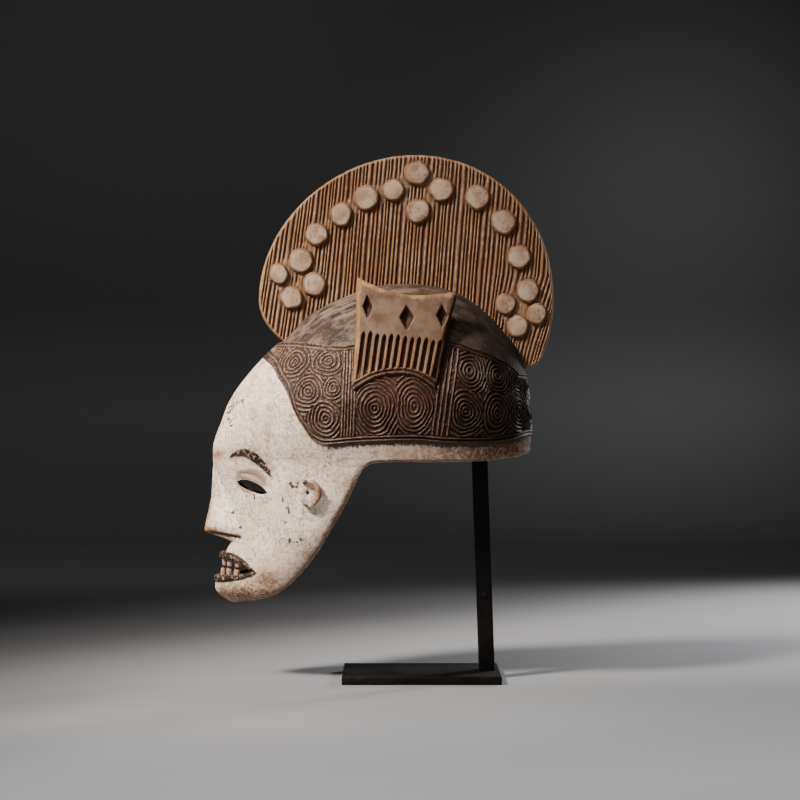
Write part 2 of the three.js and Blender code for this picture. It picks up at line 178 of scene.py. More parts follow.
def skinAt(height, way):
    row = np.clip(skinRow(height), 0, len(skinHeights) - 1.001)
    column = np.clip(way, 0, 1) * (len(skinWays) - 1.001)
    i, j = row.astype(int), column.astype(int)
    s, t = (row - i)[..., None], (column - j)[..., None]

    def between(table):
        low = table[i, j] * (1 - t) + table[i, j + 1] * t
        high = table[i + 1, j] * (1 - t) + table[i + 1, j + 1] * t
        return low * (1 - s) + high * s

    return between(skinTable), between(skinNormals)


def lengthAt(height):
    return np.interp(height, skinHeights, skinLengths[:, 0])


# How far round the head a place of the side view lies.
def wayOf(y, height):
    row = int(round(np.clip(skinRow(height), 0, len(skinHeights) - 1)))
    return float(np.interp(y, skinTable[row, :, 1], skinWays))


# How far the side view's places are from a line, and how far along it the nearest place is.
def lineDistance(y, z, line):
    line = np.asarray(line, float)
    nearest = np.full(y.shape, 1e9)
    along = np.zeros(y.shape)
    lengths = np.hypot(*np.diff(line, axis=0).T)
    starts = np.concatenate([[0], np.cumsum(lengths)])
    for (ay, az), (by, bz), length, start in zip(line[:-1], line[1:], lengths, starts):
        t = np.clip(((y - ay) * (by - ay) + (z - az) * (bz - az)) / length ** 2, 0, 1)
        distance = np.hypot(y - ay - t * (by - ay), z - az - t * (bz - az))
        closer = distance < nearest
        nearest = np.where(closer, distance, nearest)
        along = np.where(closer, (start + t * length) / starts[-1], along)
    return nearest, along


def insideOutline(y, z, outline):
    outline = np.asarray(outline, float)
    inside = np.zeros(y.shape, bool)
    for (ay, az), (by, bz) in zip(outline, np.roll(outline, -1, axis=0)):
        if az == bz:
            continue
        crosses = (az > z) != (bz > z)
        inside ^= crosses & (y < (by - ay) * (z - az) / (bz - az) + ay)
    return inside


def makeMesh(name, places, faces, marks=None, material=None):
    mesh = bpy.data.meshes.new(name)
    mesh.from_pydata(np.asarray(places, float) * mm, [], faces)
    for mark in ("pigment", "wear", "soil", "tone", "cap", "inside"):
        values = np.zeros(len(mesh.vertices), np.float32)
        if marks and mark in marks:
            values[:] = marks[mark]
        mesh.attributes.new(mark, "FLOAT", "POINT").data.foreach_set("value", values)
    if material:
        mesh.materials.append(material)
    piece = bpy.data.objects.new(name, mesh)
    bpy.context.scene.collection.objects.link(piece)
    return piece


def volumeOf(mesh):
    mesh.calc_loop_triangles()
    co = np.empty(len(mesh.vertices) * 3)
    mesh.vertices.foreach_get("co", co)
    co = co.reshape(-1, 3)
    corners = np.empty(len(mesh.loop_triangles) * 3, np.int32)
    mesh.loop_triangles.foreach_get("vertices", corners)
    a, b, c = (co[corners.reshape(-1, 3)[:, i]] for i in range(3))
    return float((a * np.cross(b, c)).sum() / 6)


def facesOut(piece):
    if volumeOf(piece.data) < 0:
        piece.data.flip_normals()
    return piece


# Faces of a grid of rows and columns whose numbers start at first. With wrap, the last column
# joins the first.
def gridFaces(rows, columns, first=0, wrap=False):
    number = np.arange(rows * columns).reshape(rows, columns) + first
    across = np.roll(number, -1, axis=1) if wrap else number[:, 1:]
    start = number if wrap else number[:, :-1]
    quads = np.stack([start[:-1], across[:-1], across[1:], start[1:]], axis=-1)
    return quads.reshape(-1, 4).tolist()


# A closed ball of rings between two end points.
def ballMesh(name, low, rings, high, marks=None, material=None):
    rows, columns, _ = rings.shape
    places = np.concatenate([[low], rings.reshape(-1, 3), [high]])
    faces = gridFaces(rows, columns, 1, True)
    last = 1 + (rows - 1) * columns
    for i in range(columns):
        j = (i + 1) % columns
        faces.append([0, 1 + j, 1 + i])
        faces.append([len(places) - 1, last + i, last + j])
    return facesOut(makeMesh(name, places, faces, marks, material))


# across, up and the way that an outline is pushed
sideAxes = ((0, 1, 0), (0, 0, 1), (1, 0, 0))
frontAxes = ((1, 0, 0), (0, 0, 1), (0, 1, 0))


# An outline pushed along a direction: the outline lies in the plane of the first two axes.
def prism(name, outline, axes, span, marks=None):
    outline = np.asarray(outline, float)
    across, up, push = np.asarray(axes, float)
    flat = outline[:, :1] * across + outline[:, 1:] * up
    places = np.concatenate([flat + push * span[0], flat + push * span[1]])
    count = len(outline)
    faces = [list(range(count)), list(range(2 * count - 1, count - 1, -1))]
    for i in range(count):
        j = (i + 1) % count
        faces.append([j, i, count + i, count + j])
    return facesOut(makeMesh(name, places, faces, marks))


def finished(piece):
    graph = bpy.context.evaluated_depsgraph_get()
    made = bpy.data.meshes.new_from_object(
        piece.evaluated_get(graph), preserve_all_data_layers=True, depsgraph=graph)
    piece.modifiers.clear()
    piece.data = made
    return piece


def combine(piece, other, how):
    change = piece.modifiers.new("combine", "BOOLEAN")
    change.operation = how
    change.object = other
    change.solver = "MANIFOLD"
    finished(piece)
    bpy.data.objects.remove(other)


def shadeSmooth(piece, degrees=38):
    piece.data.shade_smooth()
    piece.data.set_sharp_from_angle(angle=math.radians(degrees))
    return piece


def smoothRows():
    measure = rowsAt(head["stations"], shareTable)
    travel = np.hypot(np.diff(measure[:, 0]), np.abs(np.diff(measure[:, 1:], axis=0)).max(axis=1))
    travel = np.concatenate([[0], np.cumsum(travel)])
    ends = [np.interp(height, heightTable, travel) for height, _ in head["rows"]]
    at = 0
    places = []
    for end, (_, step) in zip(ends, head["rows"]):
        count = max(int(round((end - at) / step)), 1)
        places.extend(np.linspace(at, end, count + 1)[1:])
        at = end
    return np.interp(places[:-1], travel, shareTable)


face = {
    "eye": {
        "place": [-128, 197.9], "half": 17.2, "up": 5.7, "down": 4.3, "turn": 74, "tilt": 18, "flare": 1.8,
    },
    "lid": 0.8,
    "ball": {"half": [27, 15], "rise": 2.4},
    "socket": {"half": [33, 19], "deep": 2.4, "above": 6},
    "brow": [
        [-151.8, 227.2], [-147.5, 230.5], [-143.1, 232.3], [-138, 233.2], [-132.8, 232.9], [-127.5, 230.4],
        [-122.4, 226.8], [-115.2, 219.7], [-107, 208.2],
    ],
    "browHalf": 5.2,
    "browRise": 0.9,
    "nose": {
        "ridge": [
            [231, -170.2], [222, -170.6], [205, -171.5], [187, -172.8], [170, -176.2], [158, -179.2],
            [153.4, -179.7],
        ],
        "half": [[231, 5], [205, 9], [180, 12.5], [165, 16], [156, 18.5], [150, 18.5], [145, 17]],
        "under": [[152, 1], [150.4, 0.95], [148, 0.72], [144.6, 0.33], [141, 0]],
        # the nostril's groove on the side view, its half width and depth
        "groove": [[-176.5, 150], [-168, 150.2], [-155, 148], [-142.5, 146]],
        "grooveHalf": 1.9,
        "grooveDeep": 2.0,
    },
    "muzzle": {"middle": 122, "half": [36, 27], "rise": 6.5},
    "cheek": {"place": [-104, 170], "half": [34, 30], "rise": 1.5},
    # small dark marks in the paint: place and half size on the side view
    "flecks": [
        [-88, 202.6, 1.3, 1.5], [-86, 199.4, 1.5, 1.7], [-82.2, 199.2, 1.2, 1.4], [-80.8, 203, 0.9, 1.0],
        [-89.6, 175.5, 0.9, 3.4], [-92, 178, 0.8, 1.0], [-89.6, 145, 1.3, 2.8], [-82, 143.6, 1.1, 1.1],
        [-78.4, 146.5, 0.9, 1.7], [-69.6, 141.4, 0.9, 0.9], [-125.6, 188.4, 0.8, 2.6], [-134, 189, 1.0, 0.9],
        [-148.6, 171.4, 0.9, 1.4], [-140.6, 156.5, 1.0, 1.2], [-96, 186, 0.7, 2.2], [-93.6, 163.5, 0.7, 1.2],
    ],
    "dashes": [
        [-138.2, 285.5], [-143.7, 283], [-149.2, 279.5], [-153.2, 274.4], [-152.8, 267.6], [-149.6, 260.6],
    ],
}

lips = {
    "half": 38,
    "middle": [127, 103.3],     # height of each lip at the front, and how it bends to the corner
    "corner": 111,
    "bend": [4, 3.2],
    "tall": [4.2, 4.0],
    "thick": 4.4,
    "back": [-0.6, 1.6],        # how far the lips' middle sits back from the skin
}
mouth = {"half": 35.5, "span": (-200, -112)}
teeth = {
    # each tooth's place across and ahead, and the degrees that it is turned, from the middle outwards
    "upper": {
        "height": 120.6,
        "size": [6.2, 4.6, 10.2],
        "places": [[3.9, -158.8, 5], [11.8, -152.6, 28], [19.6, -144, 48]],
    },
    "lower": {
        "height": 109,
        "size": [6.2, 4.6, 9.2],
        "places": [[3.9, -160.4, 5], [12.2, -153.6, 28], [20.6, -145, 48]],
    },
    "uneven": 0.13,             # how much further forward the right side's teeth stand
}
ear = {
    "rim": [[-76, 203], [-69, 205.6], [-62, 201], [-59.6, 192.8], [-62, 185.4], [-68.4, 181], [-75, 182.4]],
    "stand": 4.4,
    "thick": 2.8,
    "plate": {
        "middle": [-70.0, 192.8],
        "half": [10.5, 11.5],
        "rise": 1.230769,
        "lean": 0.22,
        # share of the half size, and how far it stands out there before rise, from the foot inwards
        "profile": [
            [1.0, -5], [1.0, 1.2], [0.93, 2.2], [0.8, 2.7],
            [0.62, 2.8], [0.42, 2.6], [0.26, 2.3], [0.12, 1.6],
        ],
    },
    "hole": [-70.8, 193.6, 1.3, 2.0],
}


# Sinks and swells that shape the bare head into the face, on the left side's grid.
def shapeFace(places, ways, lengths):
    normal = outward(places)
    y, z = places[..., 1].copy(), places[..., 2].copy()
    around = ways[None, :] * lengths
    rise = np.zeros(y.shape)

    def bump(middleY, middleZ, half, tilt=0):
        way = np.interp(middleY, places[np.argmin(np.abs(z[:, 0] - middleZ)), :, 1], ways)
        along = around - way * lengths
        up = z - middleZ
        turn = math.radians(tilt)
        u = along * math.cos(turn) - up * math.sin(turn)
        w = along * math.sin(turn) + up * math.cos(turn)
        return u, w, np.hypot(u / half[0], w / half[1])

    eye = face["eye"]
    eyeY, eyeZ = eye["place"]
    _, _, socket = bump(eyeY - 3, eyeZ + face["socket"]["above"], face["socket"]["half"], 8)
    rise -= face["socket"]["deep"] * (1 - smooth(socket, 0.25, 1.15))
    u, w, ball = bump(*eye["place"], face["ball"]["half"], eye["tilt"])
    rise += face["ball"]["rise"] * (1 - smooth(ball, 0, 1.1))
    upperLid = eye["up"] * np.clip(1 - np.abs((u + 4) / 24) ** 2, 0, 1) + 1.6
    rise += face["lid"] * np.exp(-((w - upperLid) / 1.5) ** 2) * (1 - smooth(np.abs(u), 17, 24))
    rise -= 0.75 * np.exp(-((w - upperLid - 3.2) / 1.2) ** 2) * (1 - smooth(np.abs(u), 15, 25))
    lowerLid = -eye["down"] * np.clip(1 - np.abs((u - 2) / 23) ** 2, 0, 1) - 1.2
    rise += 0.6 * face["lid"] * np.exp(-((w - lowerLid) / 1.4) ** 2) * (1 - smooth(np.abs(u), 15, 22))

    browDistance, browAlong = lineDistance(y, z, curveThrough(face["brow"], 40))
    browHalf = face["browHalf"] * np.clip(np.sin(math.pi * np.clip(browAlong, 0.02, 0.98)), 0.05, 1) ** 0.6
    brow = 1 - smooth(browDistance - browHalf, -0.8, 0.9)
    rise += face["browRise"] * brow
    browPaint = 1 - smooth(browDistance - browHalf, -2.2, 1.2)

    _, _, cheek = bump(*face["cheek"]["place"], face["cheek"]["half"])
    rise += face["cheek"]["rise"] * (1 - smooth(cheek, 0, 1.1))

    jut = face["muzzle"]
    muzzle = np.hypot(around / jut["half"][0], (z - jut["middle"]) / jut["half"][1])
    swell = jut["rise"] * (1 - smooth(muzzle, 0.1, 1.05))

    edge = np.concatenate([[opening["ahead"]], curveThrough(opening["edge"], 120)])
    edgeDistance, _ = lineDistance(y, z, edge)
    cutAway = np.concatenate([edge, [[300, edge[-1][1]], [300, -50], [edge[0][0], -50]]])
    edgeDistance = np.where(insideOutline(y, z, cutAway), -edgeDistance, edgeDistance)
    radius = np.where(y > -16, opening["roundRim"], opening["round"])
    reach = np.clip(1 - edgeDistance / radius, 0, 1)
    rise -= radius * (1 - np.sqrt(1 - reach ** 2)) * 0.9

    shaped = places + normal * rise[..., None]
    shaped[..., 1] -= swell

    ridge = np.array(face["nose"]["ridge"])[::-1]
    halves = np.array(face["nose"]["half"])[::-1]
    under = np.array(face["nose"]["under"])[::-1]
    up = z[:, :1]
    down = np.clip((231 - up) / (231 - 153.4), 0, 1)
    off = np.abs(shaped[..., 0]) / np.interp(up, halves[:, 0], halves[:, 1])
    noseY = np.interp(up, ridge[:, 0], ridge[:, 1]) + (13 + 12 * down) * off ** 1.7
    noseY += 60 * np.clip(up - 231, 0, None) / 10
    noseY = shaped[..., 1] + (noseY - shaped[..., 1]) * np.interp(up, under[:, 0], under[:, 1])
    noseY = np.where((up < under[0, 0]) | (y > -100), 1e3, noseY)
    blend = 2.5
    share = np.clip(0.5 + 0.5 * (noseY - shaped[..., 1]) / blend, 0, 1)
    shaped[..., 1] = noseY + (shaped[..., 1] - noseY) * share - blend * share * (1 - share)
    # the nostril's groove, cut in, and also painted dark as shade through the head's marks
    nostril, _ = lineDistance(shaped[..., 1], z, curveThrough(face["nose"]["groove"], 30))
    nostril = np.exp(-(nostril / face["nose"]["grooveHalf"]) ** 2) * smooth(np.abs(shaped[..., 0]), 1.5, 5)
    nostril *= y < -100
    shaped += face["nose"]["grooveDeep"] * nostril[..., None] * np.array([-0.8, 0.6, 0])

    return shaped, {"edgeDistance": edgeDistance, "brow": browPaint, "socket": socket, "nostril": nostril}


def ringColumns():
    front = int(head["columns"] * head["frontShare"])
    ways = np.concatenate([
        np.linspace(0, head["frontPart"], front + 1)[:-1],
        np.linspace(head["frontPart"], 1, head["columns"] - front + 1),
    ])
    # the step widens gently where the two parts meet
    return np.convolve(np.pad(ways, 6, mode="reflect", reflect_type="odd"), np.ones(13) / 13, "valid")


# Both sides of the head as rings, from the left side's grid.
def ringsOf(side):
    other = side[:, -2:0:-1].copy()
    other[..., 0] *= -1
    return np.concatenate([side, other], axis=1)


def bothSides(values):
    return np.concatenate([values, values[:, -2:0:-1]], axis=1)


shapedFace = {}


# Where the shaped face lies at a place of the front view.
def frontAt(x, height):
    row = np.interp(height, shapedFace["heights"], np.arange(len(shapedFace["heights"])))
    columns = shapedFace["side"].shape[1] // 2
    found = [np.interp(abs(x), shapedFace["side"][k, :columns, 0], shapedFace["side"][k, :columns, 1])
             for k in (int(row), int(row) + 1)]
    return float(mix(found[0], found[1], row - int(row)))


def makeSkin():
    shares = smoothRows()
    ways = ringColumns()
    ways[0], ways[-1] = 0, 1
    bare, lengths = sectionPoints(head["stations"], shares, ways)
    side, marks = shapeFace(bare, ways, lengths)
    side[:, 0, 0] = 0
    side[:, -1, 0] = 0
    rings = ringsOf(side)
    y, z = bare[..., 1], bare[..., 2]
    shapedFace.update(heights=z[:, 0], side=side)
    # brow pigment, and brown wood where the paint has worn away
    edge = marks["edgeDistance"]
    front = side[..., 1]
    lower = 1 - smooth(z, 196, 222)
    jaw = np.maximum(1 - smooth(edge, 0.5, 4.5), 0.44 * (1 - smooth(edge, 2, 17))) * lower
    rim = np.maximum((1 - smooth(edge, 0, 5)) * 0.9, mix(0.24, 0.62, y / 120)) * smooth(z, 205, 225)
    rim *= smooth(y, -60, 0)
    tip = np.exp(-((z - 152) / 5.5) ** 2) * smooth(-front, 152, 172) * 0.8
    ridge = np.exp(-(side[..., 0] / 6) ** 2) * smooth(-front, 165, 170) * (1 - smooth(z, 180, 232)) * 0.6
    aboveBrow, browAlong = lineDistance(y, z, curveThrough(face["brow"], 40) + np.array([0.5, 6.5]))
    browWear = np.exp(-(aboveBrow / 5.5) ** 2) * mix(0.36, 0.46, browAlong * 1.4)
    bridge = np.exp(-((z - 231) / 6) ** 2) * smooth(-front, 150, 163) * 0.52
    streak = np.exp(-((y + 110.6) / 3.4) ** 4) * smooth(z, 224, 230) * (1 - smooth(z, 262, 268)) * 0.36
    # chin: worn wood and painted shade, darker towards the bottom
    chin = (1 - smooth(z + 0.16 * (y + 120), 84, 120)) * 0.56 * smooth(y, -190, -155)
    mouthCorner = np.exp(-(np.hypot(y + 112, (z - 104) * 1.3) / 18) ** 2) * 0.62
    forehead = np.exp(-(np.hypot((y + 148) * 0.9, (z - 246) * 0.5) / 9) ** 2) * 0.22
    wear = np.stack([jaw, rim, tip, ridge, browWear, bridge, streak, chin, mouthCorner, forehead]).max(0)
    # dirt: flecks in the paint, cut dashes on the forehead, and a smudge below the coiffure, with painted
    # shade
    soil = np.zeros(y.shape)
    for fleckY, fleckZ, halfY, halfZ in face["flecks"]:
        away = np.hypot((y - fleckY) / halfY, (z - fleckZ) / halfZ) / 1.25
        soil = np.maximum(soil, 1 - smooth(away, 0.5, 1.5))
    dashes, dashAlong = lineDistance(y, z, curveThrough(face["dashes"], 40))
    dash = (1 - smooth(dashes, 1.2, 2.7)) * smooth(np.cos(dashAlong * 2 * math.pi * 10), -0.3, 0.3)
    low, _ = lineDistance(y, z, curveThrough(coiffure["lower"], 160))
    smudge = (1 - smooth(low, 0.5, 8)) * smooth(y, -70, -40) * 0.85
    # painted shade with some dirt round the helmet's rim towards the back, and on the chin
    band = np.maximum(smooth(y, 10, 130) * smooth(z, 215, 225) * 0.5, chin * 0.7)
    soil = np.stack([soil, dash, smudge, band, marks["nostril"]]).max(0)
    # painted shade in the eye's socket, and over the cap a painted shade that grows towards the back
    tone = (1 - smooth(marks["socket"], 0.35, 1.05)) * 0.8 * (z < 236)
    lowest, highest = bandEdges(ways)
    cap = (z > (lowest + highest) / 2).astype(float)
    sides = {"pigment": marks["brow"], "wear": wear * (1 - cap), "soil": soil * (1 - cap),
             "tone": mix(tone, smooth(y, 0, 120), cap), "cap": cap}
    values = {
        key: np.concatenate([value[:1, 0], bothSides(value).ravel(), value[-1:, 0]])
        for key, value in sides.items()
    }
    low = [0, bare[0, :, 1].mean(), head["stations"][0][0]]
    high = [0, bare[-1, :, 1].mean(), head["stations"][-1][0]]
    return ballMesh("mask_head", low, rings, high, values)


def makeHollow():
    wall = head["wall"]
    stations = head["stations"]
    foot = next(row for row in stations if row[0] == head["domeFoot"])
    middle, length = (foot[1] + foot[2]) / 2, (foot[2] - foot[1]) / 2
    height = stations[-1][0] - head["domeFoot"]
    inner = []
    for z, front, back, half in stations:
        if z < head["hollowFloor"][2]:
            continue
        if z <= head["domeFoot"]:
            inner.append([z, front + wall, back - wall, half - wall])
            continue
        shorter = (length - wall) / length
        inner.append([
            head["domeFoot"] + (z - head["domeFoot"]) * (height - wall) / height,
            middle + (front - middle) * shorter,
            middle + (back - middle) * shorter,
            half * (foot[3] - wall) / foot[3],
        ])
    _, front, back, half = inner[0]
    deep = front + head["widestAt"] * (back - front)
    inner.insert(0, [head["hollowFloor"][1], front + 4, back - 12, half * 0.8])
    inner.insert(0, [head["hollowFloor"][0], deep, deep, 0])
    side, _ = sectionPoints(inner, np.linspace(0, 1, 58)[1:-1], np.linspace(0, 1, 37))
    side[:, [0, -1], 0] = 0
    low = [0, deep, head["hollowFloor"][0]]
    high = [0, side[-1, :, 1].mean(), height - wall + head["domeFoot"]]
    return ballMesh("hollow", low, ringsOf(side), high, {"inside": 1})


def sideX(y, height):
    place, _ = skinAt(np.array(float(max(height, 206))), np.array(wayOf(y, max(height, 206))))
    if height >= 206:
        return float(place[0])
    lower, _ = sectionPoints(head["stations"], np.array([shareOf(height)]), skinWays)
    return float(np.interp(y, lower[0, :, 1], lower[0, :, 0]))


# The eye's slit has its outline on the side view, and widens inwards so that it shows dark.
def makeEyeCutter(side):
    eye = face["eye"]
    turn, tilt = math.radians(eye["turn"]), math.radians(eye["tilt"])
    push = np.array([math.sin(turn), -math.cos(turn), 0])
    u = np.linspace(-1, 1, 41)
    top = eye["up"] * (1 - np.abs(u) ** 2.8) * (1 - 0.16 * u)
    low = -eye["down"] * (1 - np.abs(u) ** 3.6)
    along = np.concatenate([u, u[-2:0:-1]]) * eye["half"]
    up = np.concatenate([low, top[-2:0:-1]])
    y = eye["place"][0] + along * math.cos(tilt) + up * math.sin(tilt)
    z = eye["place"][1] - along * math.sin(tilt) + up * math.cos(tilt)
    mouthRing = np.stack([[sideX(a, b) for a, b in zip(y, z)], y, z], 1)
    middle = mouthRing.mean(0)
    deep = middle + (mouthRing - middle) * eye["flare"] - push * 34
    rings = np.stack([deep, mouthRing, mouthRing + push * 30]) * np.array([side, 1, 1])
    ends = [(middle - push * 34) * [side, 1, 1], (middle + push * 30) * [side, 1, 1]]
    return ballMesh("eyeCut", ends[0], rings, ends[1], {"inside": 1})


# The heights of the upper and the lower lip's middle line at a share of the way to the corner.
def lipLine(share, which):
    middle, bend = lips["middle"][which], lips["bend"][which]
    return middle + (lips["corner"] - middle) * np.abs(share) ** bend


def makeMouthCutter():
    u = np.linspace(-1, 1, 41)
    reach = mouth["half"] / lips["half"]
    across = u * mouth["half"]
    low, top = lipLine(u * reach, 1) + 0.5, lipLine(u * reach, 0) - 0.5
    outline = np.concatenate([np.stack([across, low], 1), np.stack([across, top], 1)[::-1]])
    return prism("mouthCut", outline, frontAxes, mouth["span"], {"inside": 1})


def makeOpeningCutter():
    edge = curveThrough(opening["edge"], 90)
    (ahead, behind), deep = opening["ends"], opening["deep"]
    below = [[behind, edge[-1][1] + 5], [behind, deep], [ahead, deep], [ahead, edge[0][1] - 3]]
    return prism("openingCut", np.concatenate([edge, below]), sideAxes, (-220, 220), {"inside": 1})


# A roll along a line of places, round in section, thick and tall as told, closed at both ends.
def roll(name, line, thick, tall, marks, around=22, taper=0.42):
    line = np.asarray(line, float)
    along = np.gradient(line, axis=0)
    along /= np.linalg.norm(along, axis=1, keepdims=True)
    side = np.cross(along, [0, 0, 1])
    side /= np.linalg.norm(side, axis=1, keepdims=True)
    up = np.cross(side, along)
    share = np.linspace(0, 1, len(line))[:, None]
    size = np.clip(np.sin(math.pi * share), 0, 1) ** taper
    turn = np.linspace(0, 2 * math.pi, around, endpoint=False)
    ring = line[:, None] + side[:, None] * (size * thick * power(np.sin(turn), 0.88))[..., None]
    ring = ring + up[:, None] * (size * tall * power(np.cos(turn), 0.88))[..., None]
    spread = {}
    for mark, values in marks.items():
        values = np.broadcast_to(values, len(line))
        spread[mark] = np.concatenate([values[:1], np.repeat(values[1:-1], around), values[-1:]])
    return ballMesh(name, line[0], ring[1:-1], line[-1], spread)


def power(value, exponent):
    return np.sign(value) * np.abs(value) ** exponent


def makeLips():
    made = []
    for which, tall in enumerate(lips["tall"]):
        across = np.linspace(-1, 1, 61)
        z = lipLine(across, which)
        x = across * lips["half"]
        y = [frontAt(a, b) + lips["back"][which] * (1 - abs(a) / lips["half"]) - 0.3 for a, b in zip(x, z)]
        made.append(roll("lip", np.stack([x, y, z], 1), lips["thick"], tall, {"pigment": 1}))
    return made


# Rounded peg teeth, and their mirror images on the right.
def makeTeeth():
    made = []
    turn = np.linspace(0, 2 * math.pi, 20, endpoint=False)
    rise = np.linspace(-math.pi / 2, math.pi / 2, 12)[1:-1, None]
    for row in (teeth["upper"], teeth["lower"]):
        wide, deep, tall = (size / 2 for size in row["size"])
        ring = np.stack([
            wide * power(np.cos(rise), 0.3) * power(np.cos(turn), 0.45),
            deep * power(np.cos(rise), 0.3) * power(np.sin(turn), 0.45),
            tall * power(np.sin(rise), 0.6) + 0 * turn,
        ], axis=-1)
        for i, (x, y, degrees) in enumerate(row["places"]):
            for side in (1, -1):
                a = math.radians(degrees) * side
                shape = ring * (1 - 0.03 * i)
                spun = shape.copy()
                spun[..., 0] = shape[..., 0] * math.cos(a) - shape[..., 1] * math.sin(a)
                spun[..., 1] = shape[..., 0] * math.sin(a) + shape[..., 1] * math.cos(a)
                ahead = teeth["uneven"] * x * (side < 0)
                middle = np.array([x * side, y - ahead, row["height"] + 0.4 * math.sin(5 * i + side)])
                low, high = middle - [0, 0, tall], middle + [0, 0, tall]
                # the teeth are worn, and darkened with painted shade as they sit in the mouth
                made.append(ballMesh("tooth", low, spun + middle, high, {"wear": 0.35, "tone": 0.6}))
    return made


def makeEar(side):
    line = curveThrough(ear["rim"], 34)
    places = np.array([[side * (sideX(y, z) + ear["stand"]), y, z] for y, z in line])
    share = np.linspace(0, 1, len(line))
    ends = 1 - smooth(np.minimum(share, 1 - share), 0.08, 0.24)
    worn = smooth(line[:, 0], -72, -64) * 0.6
    rim = roll("earRim", places, ear["thick"], ear["thick"], {"wear": worn, "soil": ends * 0.8}, 16, 0.3)
    plate = ear["plate"]
    y, z = plate["middle"]
    x = sideX(y, z)
    turn = np.linspace(0, 2 * math.pi, 40, endpoint=False)
    holeY, holeZ, halfY, halfZ = ear["hole"]
    rings = []
    marks = [0]
    for share, rise in plate["profile"]:
        behind = plate["half"][0] * share * np.cos(turn)
        above = plate["half"][1] * share * np.sin(turn)
        out = x + rise * plate["rise"] - plate["lean"] * behind
        rings.append(np.stack([side * out, y + behind, z + above], 1))
        # a dark spot of painted shade stands for the ear's hollow
        hole = np.hypot((y + behind - holeY) / halfY, (z + above - holeZ) / halfZ)
        marks.extend(1 - smooth(hole, 0.6, 1.6))
    low, high = [side * (x - 5), y, z], [side * (x + 0.8), y, z]
    return [rim, ballMesh("earPlate", low, np.array(rings), high, {"soil": np.array(marks + [1.0])})]


def makeHead():
    skin = makeSkin()
    cuts = [makeOpeningCutter(), makeHollow(), makeEyeCutter(1), makeEyeCutter(-1), makeMouthCutter()]
    for cut in cuts:
        combine(skin, cut, "DIFFERENCE")
    for part in makeLips() + makeTeeth() + makeEar(1) + makeEar(-1):
        combine(skin, part, "UNION")
    print("head:", len(skin.data.polygons), "faces")
    return skin


# Geometry Nodes and shader helpers
def addNode(tree, kind, **settings):
    node = tree.nodes.new(kind)
    for name, value in settings.items():
        setattr(node, name, value)
    return node


def feed(tree, socket, value):
    if isinstance(value, bpy.types.NodeSocket):
        tree.links.new(value, socket)
    else:
        socket.default_value = value


# A node with its inputs fed by name or number.
def fedNode(tree, kind, inputs, **settings):
    node = addNode(tree, kind, **settings)
    for name, value in inputs.items():
        feed(tree, node.inputs[name], value)
    return node


def calc(tree, operation, a, b=None, c=None, clamp=False):
    inputs = {i: value for i, value in enumerate((a, b, c)) if value is not None}
    return fedNode(tree, "ShaderNodeMath", inputs, operation=operation, use_clamp=clamp).outputs[0]


def vectorCalc(tree, operation, inputs):
    return fedNode(tree, "ShaderNodeVectorMath", inputs, operation=operation).outputs[0]


def times(tree, first, *others):
    for other in others:
        first = calc(tree, "MULTIPLY", first, other)
    return first


def centred(tree, value):
    return calc(tree, "SUBTRACT", value, 0.5)


# The sum of some values, each with its weight.
def weighed(tree, *parts):
    total = 0.0
    for value, weight in parts:
        total = calc(tree, "MULTIPLY_ADD", value, weight, total)
    return total


def ramp(tree, value, low, high, toLow=0.0, toHigh=1.0):
    inputs = {"Value": value, "From Min": low, "From Max": high, "To Min": toLow, "To Max": toHigh}
    return fedNode(tree, "ShaderNodeMapRange", inputs, interpolation_type="SMOOTHSTEP").outputs["Result"]


socketKinds = {float: "NodeSocketFloat", int: "NodeSocketInt", type(None): "NodeSocketObject"}


# A Geometry Nodes tree with inputs by name and value, None for an object, and its material last.
def newTree(name, **inputs):
    tree = bpy.data.node_groups.new(name, "GeometryNodeTree")
    tree.interface.new_socket("Geometry", in_out="INPUT", socket_type="NodeSocketGeometry")
    for label, value in inputs.items():
        socket = tree.interface.new_socket(label, in_out="INPUT", socket_type=socketKinds[type(value)])
        if value is not None:
            socket.default_value = value
    tree.interface.new_socket("Material", in_out="INPUT", socket_type="NodeSocketMaterial")
    tree.interface.new_socket("Geometry", in_out="OUTPUT", socket_type="NodeSocketGeometry")
    return tree, addNode(tree, "NodeGroupInput").outputs, addNode(tree, "NodeGroupOutput")


# Runs a tree on a piece with its inputs by name, and keeps the result as a plain mesh.
def runTree(piece, tree, **values):
    change = piece.modifiers.new(tree.name, "NODES")
    change.node_group = tree
    names = {item.name: item.identifier for item in tree.interface.items_tree if item.in_out == "INPUT"}
    for label, value in values.items():
        change[names[label]] = value
    return finished(piece)


def named(tree, name, kind="FLOAT"):
    node = fedNode(tree, "GeometryNodeInputNamedAttribute", {"Name": name}, data_type=kind)
    return node.outputs["Attribute"]


def alongNormal(tree, geometry, height, direction=None):
    direction = direction or addNode(tree, "GeometryNodeInputNormal").outputs[0]
    scaled = vectorCalc(tree, "SCALE", {0: direction, "Scale": height})
    moved = fedNode(tree, "GeometryNodeSetPosition", {"Geometry": geometry, "Offset": scaled})
    return moved.outputs["Geometry"]


def noiseValue(tree, size, seed):
    inputs = {"W": seed, "Scale": calc(tree, "DIVIDE", 1.0, size), "Detail": 2.0, "Roughness": 0.55}
    return fedNode(tree, "ShaderNodeTexNoise", inputs, noise_dimensions="4D").outputs[0]


def endTree(tree, geometry, given, out):
    real = fedNode(tree, "GeometryNodeRealizeInstances", {0: geometry})
    inputs = {"Geometry": real.outputs[0], "Material": given["Material"]}
    tree.links.new(fedNode(tree, "GeometryNodeSetMaterial", inputs).outputs[0], out.inputs[0])
    return tree


